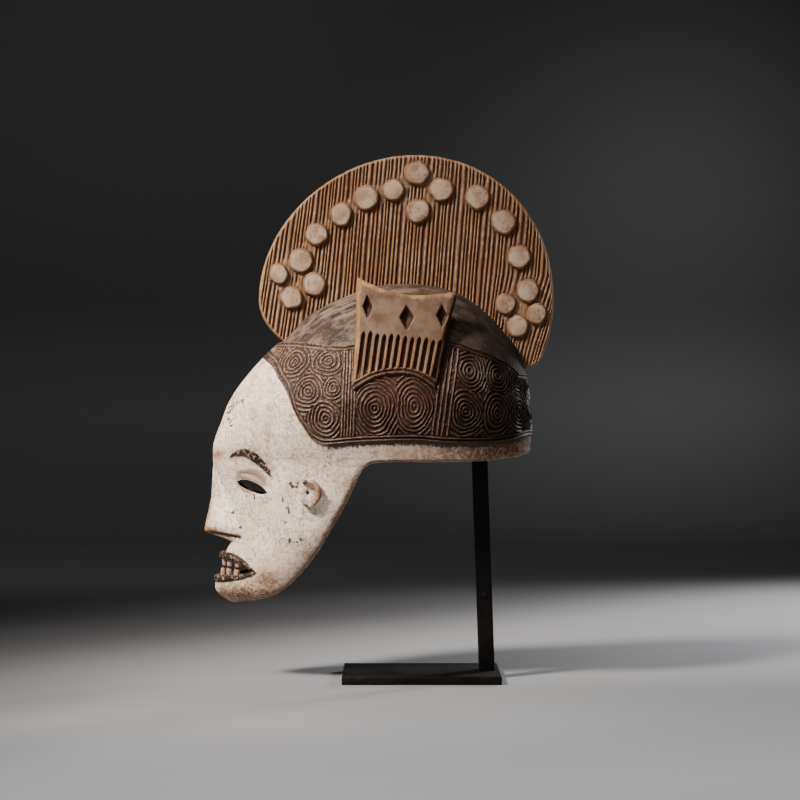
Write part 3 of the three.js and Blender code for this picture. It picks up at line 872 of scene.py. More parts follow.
# The unevenness that a hand tool leaves, as a rise and fall along the surface's normal.
def handCutTree():
    tree, given, out = newTree("handCut", Depth=0.0004, Size=0.012, Fine=0.0001, Seed=1.0)
    broad = centred(tree, noiseValue(tree, given["Size"], given["Seed"]))
    small = centred(tree, noiseValue(tree, 0.0022, given["Seed"]))
    height = weighed(tree, (broad, given["Depth"]), (small, given["Fine"]))
    return endTree(tree, alongNormal(tree, given["Geometry"], height), given, out)


# Raises the carving that the point attribute relief holds, from 0 to 1, along the attribute push.
def reliefTree():
    tree, given, out = newTree("raiseRelief", Height=0.0015, Uneven=0.35, Seed=1.0)
    chips = centred(tree, noiseValue(tree, 0.006, given["Seed"]))
    share = calc(tree, "MULTIPLY_ADD", chips, given["Uneven"], 1.0)
    height = times(tree, named(tree, "relief"), given["Height"], share)
    moved = alongNormal(tree, given["Geometry"], height, named(tree, "push", "FLOAT_VECTOR"))
    return endTree(tree, moved, given, out)


# Cuts flutes a pitch apart across the point attribute flutePlace, and keeps their depth as relief.
def fluteTree():
    tree, given, out = newTree("cutFlutes", Pitch=4.2, Depth=0.0013, Wobble=0.3, Seed=5.0)
    wander = centred(tree, noiseValue(tree, 0.03, given["Seed"]))
    phase = calc(tree, "DIVIDE", named(tree, "flutePlace"), given["Pitch"])
    phase = calc(tree, "MULTIPLY_ADD", wander, given["Wobble"], phase)
    wave = calc(tree, "COSINE", times(tree, phase, 2 * math.pi))
    groove = calc(tree, "POWER", calc(tree, "MULTIPLY_ADD", wave, 0.5, 0.5), 1.25)
    groove = times(tree, groove, named(tree, "fluteMask"))
    uneven = calc(tree, "MULTIPLY_ADD", noiseValue(tree, 0.012, given["Seed"]), 0.9, 0.55)
    moved = alongNormal(tree, given["Geometry"], times(tree, groove, given["Depth"], uneven, -1.0))
    inputs = {"Geometry": moved, "Name": "relief", "Value": calc(tree, "SUBTRACT", 1.0, groove)}
    kept = fedNode(tree, "GeometryNodeStoreNamedAttribute", inputs, data_type="FLOAT", domain="POINT")
    return endTree(tree, kept.outputs[0], given, out)


# A disc on every point, each turned and sized a little differently.
def discTree():
    tree, given, out = newTree("setDiscs", Disc=None, Uneven=0.0012, Wander=0.0045, Seed=4)
    info = fedNode(tree, "GeometryNodeObjectInfo", {"Object": given["Disc"]})
    inputs = {2: 0.0, 3: 6.28, "Seed": given["Seed"]}
    spin = fedNode(tree, "FunctionNodeRandomValue", inputs, data_type="FLOAT")
    turn = fedNode(tree, "ShaderNodeCombineXYZ", {"X": spin.outputs[1], "Z": named(tree, "flip")})
    size = named(tree, "size")
    grow = fedNode(tree, "ShaderNodeCombineXYZ", {"X": 1.0, "Y": size, "Z": size})
    placed = fedNode(tree, "GeometryNodeInstanceOnPoints", {
        "Points": given["Geometry"],
        "Instance": info.outputs["Geometry"],
        "Rotation": turn.outputs[0],
        "Scale": grow.outputs[0],
    })
    real = fedNode(tree, "GeometryNodeRealizeInstances", {0: placed.outputs[0]})
    height = times(tree, centred(tree, noiseValue(tree, 0.008, given["Seed"])), given["Uneven"])
    # the outlines wander a little, each in its own way
    drift = fedNode(tree, "ShaderNodeTexNoise", {"Scale": 75.0}).outputs["Color"]
    for operation, change in (("SUBTRACT", (0.5, 0.5, 0.5)), ("MULTIPLY", (0.0, 1.0, 1.0))):
        drift = vectorCalc(tree, operation, {0: drift, 1: change})
    pushed = alongNormal(tree, real.outputs[0], given["Wander"], drift)
    return endTree(tree, alongNormal(tree, pushed, height), given, out)


trees = {
    "handCut": handCutTree(),
    "raiseRelief": reliefTree(),
    "cutFlutes": fluteTree(),
    "setDiscs": discTree(),
}


coiffure = {
    "lower": [
        [-121, 329.7], [-109, 320], [-101, 307], [-94, 296.3], [-88, 283.4], [-81, 267.7], [-72, 253.6],
        [-65, 245.5], [-52, 241], [-20, 243.8], [35, 245.5], [68, 243], [110, 243], [135, 246], [150, 249],
    ],
    "upper": [
        [-106, 341], [-100, 345], [-85, 346], [-40, 341.5], [-10, 343.5], [30, 346], [68, 347], [92, 339.5],
        [120, 329], [133, 320.5], [140, 314],
    ],
    "columns": 600,
    "rows": 144,
    "base": 0.4,
    "relief": 1.6,
    "pitch": 3.9,
    "ridge": 1.9,              # how narrow the ridges are beside the grooves
    # place and half size of each coil on the side view
    "coils": [
        [-103.3, 333.9, 6, 7], [-83.1, 323.9, 13.6, 16], [-49.4, 324.7, 15.6, 14.2],
        [-69.5, 294.2, 13.5, 15], [-44.2, 297.6, 8.9, 11.3], [-52, 267.9, 14.2, 16.3],
        [-3.1, 277.8, 21.1, 25.4], [35.7, 280, 16.8, 23.3], [90.4, 315.4, 15.3, 19.4],
        [86.6, 275, 16.8, 20.8], [118.6, 309.9, 10.7, 15], [118.3, 273.4, 12.8, 18.5],
        [138.9, 303.5, 7, 15], [140.2, 274.8, 8, 16],
    ],
    "behind": [[22, 300, 14, 13], [22, 269, 15, 16]],     # from the middle of the back
    "frontRibs": [[-36.2, -33.2, -30.3, -27.3, -24.3], 250, 342, 3.5],
    "backRibs": [[52.8, 57.7, 62.3, 67.6], 250, 338, 12.3],
    "arches": [
        [[-25.6, 300.5], [-20.3, 304], [-9.2, 310.2], [4.3, 314.6],
         [22.6, 316.5], [36.4, 314.6], [47.5, 310.2], [58.5, 302.5]],
        [[-23.6, 296.4], [-18, 300.2], [-8, 306.2], [5, 310.6],
         [22, 312.4], [35, 310.6], [45.5, 306.2], [56, 298]],
    ],
    "ledge": 3.0,              # how far the band under the comb stands out
    "cordWidth": 3.5,
}


def bandEdges(ways):
    edges = []
    for line in (coiffure["lower"], coiffure["upper"]):
        smoothLine = curveThrough(line, 90)
        flat = np.array([[wayOf(y, z), z] for y, z in smoothLine])
        order = np.argsort(flat[:, 0])
        edges.append(np.interp(ways, flat[order, 0], flat[order, 1]))
    return edges


# Each coil's middle on the skin, the directions along and up from it, and its half sizes there.
def coilPlaces():
    spots = [[wayOf(y, z), z, halfY, halfZ, True] for y, z, halfY, halfZ in coiffure["coils"]]
    for back, z, halfY, halfZ in coiffure["behind"]:
        spots.append([1 - back / lengthAt(z), z, halfY, halfZ, False])
    for way, z, halfY, halfZ, fromSide in spots:
        middle, normal = skinAt(np.array(float(z)), np.array(way))
        along = np.array([-normal[1], normal[0], 0]) / np.hypot(normal[0], normal[1])
        up = np.cross(normal, along)
        up *= np.sign(up[2])
        if fromSide:
            halfY, halfZ = halfY / max(abs(along[1]), 0.3), halfZ / abs(up[2])
        yield middle, normal, along, up, halfY, halfZ


# The carving of the coiffure on its grid of places, 1 on a ridge and 0 in a groove.
def coiffureRelief(places, low, high):
    y, z = places[..., 1], places[..., 2]
    flat = places.reshape(-1, 3)
    wobble = (lump(flat, 11, 21) * 0.17 + lump(flat, 4.5, 22) * 0.11).reshape(y.shape)
    ribs = [[[[foot, bottom], [foot + lean, top]] for foot in feet]
            for feet, bottom, top, lean in (coiffure["frontRibs"], coiffure["backRibs"])]
    edges = []
    for group in ribs:
        (footY, footZ), (topY, topZ) = group[1]
        edges.append(np.interp(z, [footZ, topZ], [footY, topY]))
    field = (y > edges[0]).astype(int) + (y > edges[1])
    ring = np.full(y.shape, 1e9)
    phase = np.zeros(y.shape)
    for middle, normal, along, up, halfAlong, halfUp in coilPlaces():
        away = places - middle
        a, b, off = away @ along, away @ up, away @ normal
        size = np.where(np.abs(off) < 30, np.hypot(a / halfAlong, b / halfUp), 1e9)
        home = int(middle[1] > -30) + int(middle[1] > 60)
        mean = (halfAlong + halfUp) / 2
        count = max(round(mean / coiffure["pitch"]), 2)
        spread = size * (1 + 0.05 * np.sin(3 * np.arctan2(b, a) + middle[1])) + wobble / count * 1.6
        closer = (size < ring) & (field == home)
        ring = np.where(closer, size, ring)
        turned = np.where(spread < (count + 2.4) / count, spread * count + 0.03, 0.36)
        phase = np.where(closer, turned, phase)
    carve = (0.5 + 0.5 * np.cos(2 * math.pi * phase)) ** coiffure["ridge"]
    lines = [line for group in ribs for line in group]
    lines += [curveThrough(arch, 30) for arch in coiffure["arches"]]
    for line in lines:
        distance, _ = lineDistance(y + wobble * 2.2, z, line)
        ridge = np.clip(np.cos(np.clip(distance / 1.7, 0, 1) * math.pi / 2), 0, 1) ** 1.3
        carve = np.maximum(carve * smooth(distance, 1.5, 2.6), ridge * (distance < 1.7))
    under = curveThrough(coiffure["arches"][0], 30)
    combFoot = (z > np.interp(y, under[:, 0], under[:, 1]) + 1.8) & (field == 1) & (y > -24)
    carve = np.where(combFoot, carve * 0.2, carve)
    over = curveThrough(coiffure["arches"][1], 30)
    ledge = smooth(z - np.interp(y, over[:, 0], over[:, 1]), -3, 0.5) * (1 - smooth(z, 332, 340))
    ledge *= smooth(y, -28, -23) * (1 - smooth(y, 55, 60))
    travel = np.linalg.norm(np.gradient(places, axis=1), axis=2)
    steep = np.gradient(low, axis=1) / np.maximum(travel, 1e-6)
    fromLow = (z - low) / np.sqrt(1 + steep ** 2)
    fromHigh = high - z
    width = coiffure["cordWidth"]
    for edge in (fromLow, fromHigh):
        cord = 0.5 - 0.5 * np.cos(2 * math.pi * np.clip((edge - 0.4 + wobble * 1.5) / width, 0, 2))
        carve = np.where(edge < width * 2 + 0.4, cord ** 1.3, carve)
    carve *= 1 - 0.6 * (1 - smooth(y, -118, -104)) * (fromLow < 12)
    return carve, np.minimum(fromLow, fromHigh), ledge


def makeCoiffure(side, material):
    columns, rows = coiffure["columns"], coiffure["rows"]
    ways = np.linspace(0, 1, columns)
    low, high = bandEdges(ways)
    height = low + (high - low) * np.linspace(0, 1, rows)[:, None]
    way = np.broadcast_to(ways, height.shape)
    place, normal = skinAt(height, way)
    flip = np.array([side, 1, 1])
    place, normal = place * flip, normal * flip
    place[:, [0, -1], 0] = 0
    carve, border, ledge = coiffureRelief(
        place * flip, np.broadcast_to(low, height.shape), np.broadcast_to(high, height.shape))
    rise = coiffure["base"] - 1.6 * (1 - smooth(border, 0, 1.3)) + coiffure["ledge"] * ledge
    outer = place + normal * rise[..., None]
    every = rows // 6
    sunk = np.concatenate([place[::every] - normal[::every] * 3, place[-1:] - normal[-1:] * 3])
    loop = np.concatenate([outer, sunk[::-1]])
    loop[:, [0, -1], 0] = 0
    count = len(loop)
    faces = gridFaces(columns, count, 0, True)
    faces.append(list(range(count)))
    faces.append(list(range(columns * count - 1, (columns - 1) * count - 1, -1)))
    name = "mask_coiffure_left" if side > 0 else "mask_coiffure_right"
    band = makeMesh(name, loop.transpose(1, 0, 2).reshape(-1, 3), faces, {}, material)
    facesOut(band)
    still = np.zeros((count - rows, columns))
    push = normal.copy()
    push[:, [0, -1], 0] = 0
    push = np.concatenate([push, np.zeros((count - rows, columns, 3))]).transpose(1, 0, 2)
    band.data.attributes.new("push", "FLOAT_VECTOR", "POINT").data.foreach_set("vector", push.ravel())
    putMark(band, "relief", np.concatenate([carve * smooth(border, 0.3, 1.2), still]).T.ravel())
    dusty = 1 - smooth(place[..., 1] + 0.25 * (330 - place[..., 2]), -50, 15)
    putMark(band, "tone", np.concatenate([dusty, still]).T.ravel())
    putMark(band, "soil", np.concatenate([1 - smooth(border, 4, 8), still]).T.ravel())
    runTree(band, trees["raiseRelief"], Height=coiffure["relief"] * mm, Seed=3.0, Material=material)
    print(name + ":", len(band.data.polygons), "faces")
    return shadeSmooth(band, 55)


def putMark(piece, name, values):
    marks = piece.data.attributes
    mark = marks.get(name) or marks.new(name, "FLOAT", "POINT")
    mark.data.foreach_set("value", np.asarray(values, np.float32))


crest = {
    "centre": [28, 389],
    "half": [151.7, 149.5],
    "skew": 16,
    "ends": [-20, 181],
    "lobes": [[[167, 321], [150, 318]], [[-121.5, 364], [-99, 346]]],
    "thickFoot": 19,
    "thickTop": 14,
    "columns": 760,
    "rows": 40,
    "edgeRound": 3.4,
    "edgeRows": [0, 0.25, 0.8, 1.6, 2.6, 3.8],      # how far the first rows lie from the edge
    "pitch": 4.15,
    "depth": 1.8,
    "plainEdge": [1.6, 3.2],    # the flutes fade in between these distances from the edge
    # degrees that the flutes lean back at the front, in the middle and in the lobe behind
    "lean": [8.5, 4.5, 17],
    "wander": [[0.21, 0.9], [0.53, 0.5]],      # how the flutes' widths vary along the crest
}

discs = {
    "radius": 12,
    "radii": [
        10.3, 12.8, 11.9, 12.3, 11.5, 12, 13.2, 11.6, 13, 12.5, 12.5, 12.8, 13.1, 12.3, 12, 10.8, 11, 11.5,
    ],
    "sides": 36,
    "rise": 4.2,
    "sunk": 3,
    "places": [
        [-103, 415.7], [-79.9, 429.1], [-89.6, 391.1], [-66.5, 405], [-63.9, 456.3], [-38.6, 476.7],
        [-13, 493.9], [14.7, 501.6], [38.8, 519.5], [40, 480.4], [64.1, 502.1], [101.4, 493.9],
        [127.7, 469.3], [143.8, 433.5], [152.7, 398.5], [129.8, 385.1], [161.7, 374.8], [142, 362],
    ],
}


def crestOutline():
    cy, cz = crest["centre"]
    a = np.radians(np.linspace(*crest["ends"], 260))
    lift = np.clip(np.sin(a), 0, 1)
    y = cy + crest["half"][0] * np.cos(a) + crest["skew"] * lift ** 2 * (1 - lift * 0.4)
    z = cz + crest["half"][1] * np.sin(a)
    arc = np.stack([y, z], 1)
    t = np.linspace(0, 1, 30)[1:, None]
    ends = []
    for start, (bend, end) in zip((arc[0], arc[-1]), crest["lobes"]):
        ends.append(start * (1 - t) ** 2 + 2 * np.array(bend) * t * (1 - t) + np.array(end) * t ** 2)
    return np.concatenate([ends[0][::-1], arc, ends[1]])


# The height of the dome's middle line at a place along it.
def domeTop(y):
    shares = np.linspace(shareOf(head["domeFoot"]), 1, 900)
    rows = rowsAt(head["stations"], shares)
    line = np.concatenate([rows[:, [1, 0]], rows[::-1][:, [2, 0]]])
    order = np.argsort(line[:, 0], kind="stable")
    return np.interp(y, line[order, 0], line[order, 1], left=0, right=0)


def crestHalf(z):
    foot = crest["centre"][1] - crest["half"][1] / 2
    top = crest["centre"][1] + crest["half"][1]
    return mix(crest["thickFoot"], crest["thickTop"], (z - foot) / (top - foot)) / 2


def makeCrest(material):
    outline = crestOutline()
    first, last = outline[:, 0].min() + 0.02, outline[:, 0].max() - 0.02
    phi = np.linspace(-math.pi / 2, math.pi / 2, crest["columns"])
    y = (first + last) / 2 + (last - first) / 2 * np.sin(phi)
    closed = np.concatenate([outline, outline[:1]])
    top, bottom = np.full(y.shape, -1e9), np.full(y.shape, 1e9)
    for (ay, az), (by, bz) in zip(closed[:-1], closed[1:]):
        if ay == by:
            continue
        hit = (y >= min(ay, by)) & (y <= max(ay, by))
        z = az + (bz - az) * (y - ay) / (by - ay)
        top = np.where(hit, np.maximum(top, z), top)
        bottom = np.where(hit, np.minimum(bottom, z), bottom)
    bottom = np.minimum(np.maximum(bottom, domeTop(y) - 7), top)
    tall = top - bottom
    edge = np.array(crest["edgeRows"])
    shrink = np.clip(tall / 12, 0, 1)[:, None]
    between = np.linspace(0, 1, crest["rows"] + 2)[1:-1]
    inner = tall[:, None] - 2 * edge[-1] * shrink
    z = np.concatenate([
        bottom[:, None] + edge * shrink,
        bottom[:, None] + edge[-1] * shrink + inner * between,
        (top[:, None] - edge * shrink)[:, ::-1],
    ], axis=1)
    columns, rows = z.shape
    ys = np.broadcast_to(y[:, None], z.shape)
    distance, _ = lineDistance(ys, z, outline)
    share = np.clip(distance / crest["edgeRound"], 0, 1)
    half = crestHalf(z) * (1 - (1 - share) ** 2.2) ** (1 / 2.2)
    faceA = np.stack([half, ys, z], -1)
    faceB = np.stack([-half, ys, z], -1)
    loop = np.concatenate([faceA, faceB[:, ::-1]], axis=1)
    faces = gridFaces(columns, 2 * rows, 0, True)
    plate = makeMesh("mask_crest", loop.reshape(-1, 3), faces, {}, material)
    toDisc = np.full(z.shape, 1e9)
    near = np.zeros(z.shape)
    for (dy, dz), radius in zip(discs["places"], discs["radii"]):
        away = np.hypot(ys - dy, z - dz) - radius
        toDisc = np.minimum(toDisc, away)
        near += 1 - smooth(away, 1, 9)
    front, middleLean, behind = np.tan(np.radians(crest["lean"]))
    up = z - crest["centre"][1]
    lean = mix(middleLean, front, smooth(-ys, 10, 100)) * up
    lean += (behind - middleLean) * smooth(ys, 95, 165) * np.minimum(up, 25)
    place = ys - lean
    for rate, wide in crest["wander"]:
        place = place + wide * np.sin(place * rate)
    mask = smooth(distance, *crest["plainEdge"]) * (1 - 0.85 * smooth(near, 0.7, 1.3))
    # a painted shadow ring round each disc
    shadow = 1 - smooth(toDisc, 0.3, 4.5)
    wear = 1 - smooth(distance, 1, 5)
    for name, grid in {"flutePlace": place, "fluteMask": mask, "soil": shadow, "wear": wear}.items():
        putMark(plate, name, np.concatenate([grid, grid[:, ::-1]], axis=1).ravel())
    weld(plate)
    facesOut(plate)
    runTree(plate, trees["cutFlutes"], Pitch=crest["pitch"], Depth=crest["depth"] * mm, Material=material)
    print("crest:", len(plate.data.polygons), "faces")
    return shadeSmooth(plate, 60)


def weld(piece, distance=1e-6):
    work = bmesh.new()
    work.from_mesh(piece.data)
    bmesh.ops.remove_doubles(work, verts=work.verts, dist=distance)
    bmesh.ops.dissolve_degenerate(work, edges=work.edges, dist=distance)
    work.to_mesh(piece.data)
    work.free()


def makeDiscs(material):
    radius, rise = discs["radius"], discs["rise"]
    profile = [
        [0.985, -discs["sunk"]], [1.0, 0], [0.99, rise * 0.4], [0.965, rise * 0.62], [0.92, rise * 0.78],
        [0.85, rise * 0.88], [0.76, rise * 0.94], [0.62, rise * 0.98], [0.42, rise], [0.22, rise],
    ]
    turn = np.linspace(0, 2 * math.pi, discs["sides"], endpoint=False)
    wave = 1 + 0.03 * np.sin(2 * turn + 1) + 0.02 * np.sin(5 * turn)
    rings = np.array([
        np.stack([x + 0 * turn, radius * r * wave * np.cos(turn), radius * r * wave * np.sin(turn)], 1)
        for r, x in profile])
    disc = ballMesh("disc", [-discs["sunk"], 0, 0], rings, [rise, 0, 0])
    heights = rings[..., 0]
    rim = np.array([r for r, _ in profile])[:, None] + 0 * heights
    putMark(disc, "wear", np.concatenate([[0], smooth(rim, 0.66, 0.97).ravel(), [0]]))
    places = np.array(discs["places"])
    half = crestHalf(places[:, 1])
    spots = np.concatenate([np.stack([x, places[:, 0], places[:, 1]], 1) for x in (half, -half)])
    points = makeMesh("mask_discs", spots, [], {}, material)
    putMark(points, "flip", np.repeat([0, math.pi], len(places)))
    putMark(points, "size", np.tile(discs["radii"], 2) / radius)
    runTree(points, trees["setDiscs"], Disc=disc, Material=material)
    bpy.data.objects.remove(disc)
    print("discs:", len(points.data.polygons), "faces")
    return shadeSmooth(points, 60)


comb = {
    "outline": [
        [-20.8, 408.8], [-22.2, 393], [-22, 360], [-24.6, 316], [-25.8, 302.2], [-20.3, 305.4],
        [-9.2, 311.5], [4.3, 315.9], [22.6, 317.8], [36.4, 315.9], [47.5, 311.5], [57.8, 303.6],
        [61.5, 316], [66, 335],
        [69.4, 349], [71.8, 365], [75.6, 378.8], [78.2, 388.4], [77.3, 392.6], [73.4, 394], [61.6, 392.2],
        [50.5, 390.8], [35.2, 390.2], [22.2, 391.8], [4.6, 396.7], [-10.8, 403.4],
    ],
    "lowest": 303,
    "face": 101.2,
    "lean": 0.17,
    "bow": 0.0021,
    "middle": 26,
    "thick": 9,
    "freeFrom": 336,
    "gapDeep": 3.8,
    "gap": {
        "count": 12, "first": -14.0, "pitch": 6.94, "width": 3.9,
        "top": [355.4, 347.2], "peak": 4.4, "lean": [0.12, 0.19],
    },
    "lozenges": [[-10.6, 378.8, 5.5, 13.6], [28.4, 367.8, 8.1, 14.2], [63.4, 370, 6.5, 12.8]],
    "lozengeDeep": 5.6,
    # brown smears: place and half size
    "smears": [[-2, 367.6, 11, 5.4], [9, 389.4, 15, 4.6], [-8, 389, 6, 5]],
    "voxel": 0.72,
    "roundTurns": 4,
    "edgeRound": 4.5,
    "tool": {"Depth": 0.0005, "Fine": 0.0001, "Seed": 7.0},
}


# The comb is cut flat, its face at x = 0, and is then bent round the dome.
def makeComb(side, material):
    name = "mask_comb_left" if side > 0 else "mask_comb_right"
    plate = prism(name, comb["outline"], sideAxes, (-24, 0))
    free = [[-90, comb["freeFrom"]], [150, comb["freeFrom"]], [150, 450], [-90, 450]]
    combine(plate, prism("behind", free, sideAxes, (-30, -comb["thick"])), "DIFFERENCE")
    gap = comb["gap"]
    gaps = []
    for i in range(gap["count"]):
        share = i / (gap["count"] - 1)
        middle = gap["first"] + i * gap["pitch"]
        half = (gap["width"] + 0.3 * math.sin(i * 2.3)) / 2
        top = float(mix(*gap["top"], share)) + 0.8 * math.sin(i * 1.7)
        lean = float(mix(*gap["lean"], share))
        foot = comb["lowest"] - 30
        shift = lean * (top - foot)
        cut = [[middle - shift - half, foot], [middle - shift + half, foot],
               [middle + half - lean * gap["peak"], top - gap["peak"]], [middle, top],
               [middle - half - lean * gap["peak"], top - gap["peak"]]]
        combine(plate, prism("gap", cut, sideAxes, (-comb["gapDeep"], 5)), "DIFFERENCE")
        gaps.append([middle, top, lean, half])
    for y, z, halfY, halfZ in comb["lozenges"]:
        combine(plate, lozengeCutter(y, z, halfY, halfZ), "DIFFERENCE")
    remesh = plate.modifiers.new("even", "REMESH")
    remesh.mode = "VOXEL"
    remesh.voxel_size = comb["voxel"] * mm
    soft = plate.modifiers.new("soft", "SMOOTH")
    soft.iterations = comb["roundTurns"]
    soft.factor = 0.5
    finished(plate)
    mesh = plate.data
    flat = np.empty(len(mesh.vertices) * 3)
    mesh.vertices.foreach_get("co", flat)
    flat = flat.reshape(-1, 3) / mm
    x, y, z = flat.T
    edge, _ = lineDistance(y, z, comb["outline"] + comb["outline"][:1])
    roundness = mix(comb["edgeRound"], 9, smooth(y, 56, 70) * smooth(z, 335, 352))
    near = np.clip(1 - edge / roundness, 0, 1)
    ease = roundness * 0.75 * (1 - np.sqrt(1 - near ** 2)) * smooth(x, -8, -1) * smooth(z, 312, 322)
    lift, off = z - comb["lowest"], y - comb["middle"]
    bent = np.stack([x - ease + comb["face"] - comb["lean"] * lift - comb["bow"] * off ** 2, y, z], 1)
    bent[:, 0] *= side
    mesh.vertices.foreach_set("co", (bent * mm).ravel())
    mesh.materials.clear()
    mesh.materials.append(material)
    inGap = np.zeros(len(x))
    for middle, top, lean, half in gaps:
        across = np.abs(y - middle + lean * (top - z))
        inGap = np.maximum(inGap, (1 - smooth(across, half - 0.4, half + 0.5)) * (z < top + 1.5))
    for ly, lz, halfY, halfZ in comb["lozenges"]:
        inGap = np.maximum(inGap, 1 - smooth(np.abs(y - ly) / halfY + np.abs(z - lz) / halfZ, 0.85, 1.12))
    smear = np.zeros(len(x))
    for sy, sz, halfY, halfZ in comb["smears"]:
        smear = np.maximum(smear, 1 - smooth(np.hypot((y - sy) / halfY, (z - sz) / halfZ), 0.1, 1.3))
    # painted shade darkens the deeper parts of the gaps and lozenges, where the wood is also bare
    deep = smooth(-x, 0.7, 3.5)
    # painted shade on the right edge, which turns away from the light, and over the back of the comb
    behind = smooth(y - 0.32 * (z - 350), 61, 66) * 0.62
    soil = np.maximum(inGap * smooth(-x, 0.2, 2.2), behind) + smooth(-x, 6, 12) * 0.6
    putMark(plate, "soil", np.clip(soil, 0, 1))
    edgeWear = 1 - smooth(edge + 1.2 * lump(flat, 9, 31), 1.5, 8.5)
    putMark(plate, "wear", np.clip(edgeWear * mix(0.9, 0.6, smooth(y, -15, 10)) + deep * 0.7, 0, 1))
    putMark(plate, "tone", smear * (0.75 + 0.35 * lump(flat, 4, 32)) * smooth(x, -2, -0.5))
    putMark(plate, "teeth", 1 - smooth(z, 330, 352))
    mesh.update()
    facesOut(plate)
    runTree(plate, trees["handCut"], Material=material, **comb["tool"])
    print(name + ":", len(plate.data.polygons), "faces")
    return shadeSmooth(plate, 70)


# A four-sided pit: its mouth on the comb's face and its bottom a short ridge.
def lozengeCutter(y, z, halfY, halfZ):
    mouth = np.array([[-halfY, 0], [0, -halfZ], [halfY, 0], [0, halfZ]])
    grow = 1.25
    deep = comb["lozengeDeep"]
    places = [[grow, y + a * 1.12, z + b * 1.12] for a, b in mouth]
    places += [[-deep, y + a * 0.35, z + b * 0.5] for a, b in mouth]
    faces = [[0, 1, 2, 3], [7, 6, 5, 4]] + [[(i + 1) % 4, i, 4 + i, 4 + (i + 1) % 4] for i in range(4)]
    return facesOut(makeMesh("lozenge", places, faces))


# Shader groups and materials
def paint(red, green, blue):
    def linear(value):
        value /= 255
        return value / 12.92 if value <= 0.04045 else ((value + 0.055) / 1.055) ** 2.4
    return (linear(red), linear(green), linear(blue), 1.0)


# red, green and blue from 0 to 255, by finish
colours = {
    "wood": {
        "mid": (104, 66, 38), "light": (156, 108, 68), "inner": (46, 31, 22), "innerPale": (88, 63, 45),
    },
    "clay": {
        "pale": (254, 238, 222), "warm": (236, 209, 187), "grey": (184, 162, 145), "thread": (158, 130, 110),
        "crack": (104, 76, 58), "speck": (128, 96, 74), "shade": (146, 121, 103), "thin": (166, 132, 105),
        "dirt": (52, 36, 28),
    },
    "pigment": {"deep": (34, 21, 15), "chalky": (164, 138, 118), "brown": (84, 60, 42)},
    # the cap's last two colours are painted shade for its back, turned away from the light
    "cap": {
        "deep": (42, 34, 29), "dust": (118, 100, 87), "brown": (104, 72, 49), "paintedShade": (40, 29, 21),
        "chalk": (126, 106, 92), "back": (20, 16, 14),
    },
    # the hair's last colour is painted shade for the back of the head
    "hair": {
        "groove": (26, 14, 9), "grooveWarm": (58, 30, 17), "grooveDry": (42, 27, 20),
        "grooveDust": (80, 59, 47), "ridge": (112, 74, 50), "ridgeWarm": (138, 106, 82),
        "ridgeDry": (170, 138, 116), "dust": (150, 130, 114), "back": (13, 9, 7),
    },
    # the crest row holds a painted shadow colour for the rings round the discs
    "crest": {
        "ridge": (106, 64, 35), "ridgePale": (152, 106, 68), "dry": (112, 73, 44), "dryPale": (166, 126, 90),
        "groove": (36, 14, 4), "groovePale": (68, 34, 13), "chalk": (190, 164, 138), "soil": (52, 30, 16),
        "edge": (150, 116, 86),
    },
    "disc": {
        "pale": (180, 155, 132), "warm": (146, 115, 90), "edge": (140, 94, 56), "cut": (60, 34, 16),
        "dust": (184, 162, 145),
    },
    "comb": {
        "pale": (124, 97, 77), "warm": (104, 76, 56), "edge": (198, 150, 98), "cut": (50, 26, 11),
        "dust": (126, 104, 88),
    },
    "trim": {"dirt": (110, 78, 54), "smear": (84, 50, 27), "cutPale": (62, 35, 18)},
    "steel": {"dark": (12, 10, 9), "pale": (25, 21, 19), "rubbed": (70, 58, 50)},
    # the floor's greys paint light falling off: pale near the camera, painted shade towards the back and up
    # the sweep
    "floor": {
        "middle": (139, 139, 140), "near": (247, 247, 248), "cloud": (120, 120, 121),
        "back": (122, 122, 123), "dark": (74, 74, 75), "wall": (99, 99, 100), "high": (68, 68, 69),
    },
}
paints = {finish: {name: paint(*rgb) for name, rgb in row.items()} for finish, row in colours.items()}


def newGroup(name, inputs, outputs):
    tree = bpy.data.node_groups.new(name, "ShaderNodeTree")
    for label, value in inputs.items():
        socket = tree.interface.new_socket(label, in_out="INPUT", socket_type="NodeSocketFloat")
        socket.default_value = value
    for label in outputs:
        tree.interface.new_socket(label, in_out="OUTPUT", socket_type="NodeSocketFloat")
    return tree, addNode(tree, "NodeGroupInput").outputs, addNode(tree, "NodeGroupOutput").inputs


def objectPlace(tree, stretch=None):
    place = addNode(tree, "ShaderNodeTexCoord").outputs["Object"]
    if stretch:
        place = vectorCalc(tree, "MULTIPLY", {0: place, 1: stretch})
    return place


def noise(tree, scale, detail=3.0, rough=0.55, twist=0.0, stretch=None):
    inputs = {"Vector": objectPlace(tree, stretch), "Scale": scale, "Detail": detail, "Roughness": rough}
    return fedNode(tree, "ShaderNodeTexNoise", inputs | {"Distortion": twist}).outputs["Fac"]


# Breaks up the edge of a mask, as flaking paint does.
def flakeGroup():
    tree, given, out = newGroup("flake", {"Mask": 0.0, "Scale": 300.0, "Amount": 0.8}, ["Mask"])
    mask = given["Mask"]
    loose = times(tree, centred(tree, noise(tree, given["Scale"], 6.0, 0.65)), given["Amount"])
    ends = times(tree, mask, calc(tree, "SUBTRACT", 1.0, mask), 5.0)
    loose = times(tree, loose, calc(tree, "MINIMUM", ends, 1.0))
    feed(tree, out["Mask"], ramp(tree, calc(tree, "ADD", mask, loose), 0.3, 0.7))
    return tree


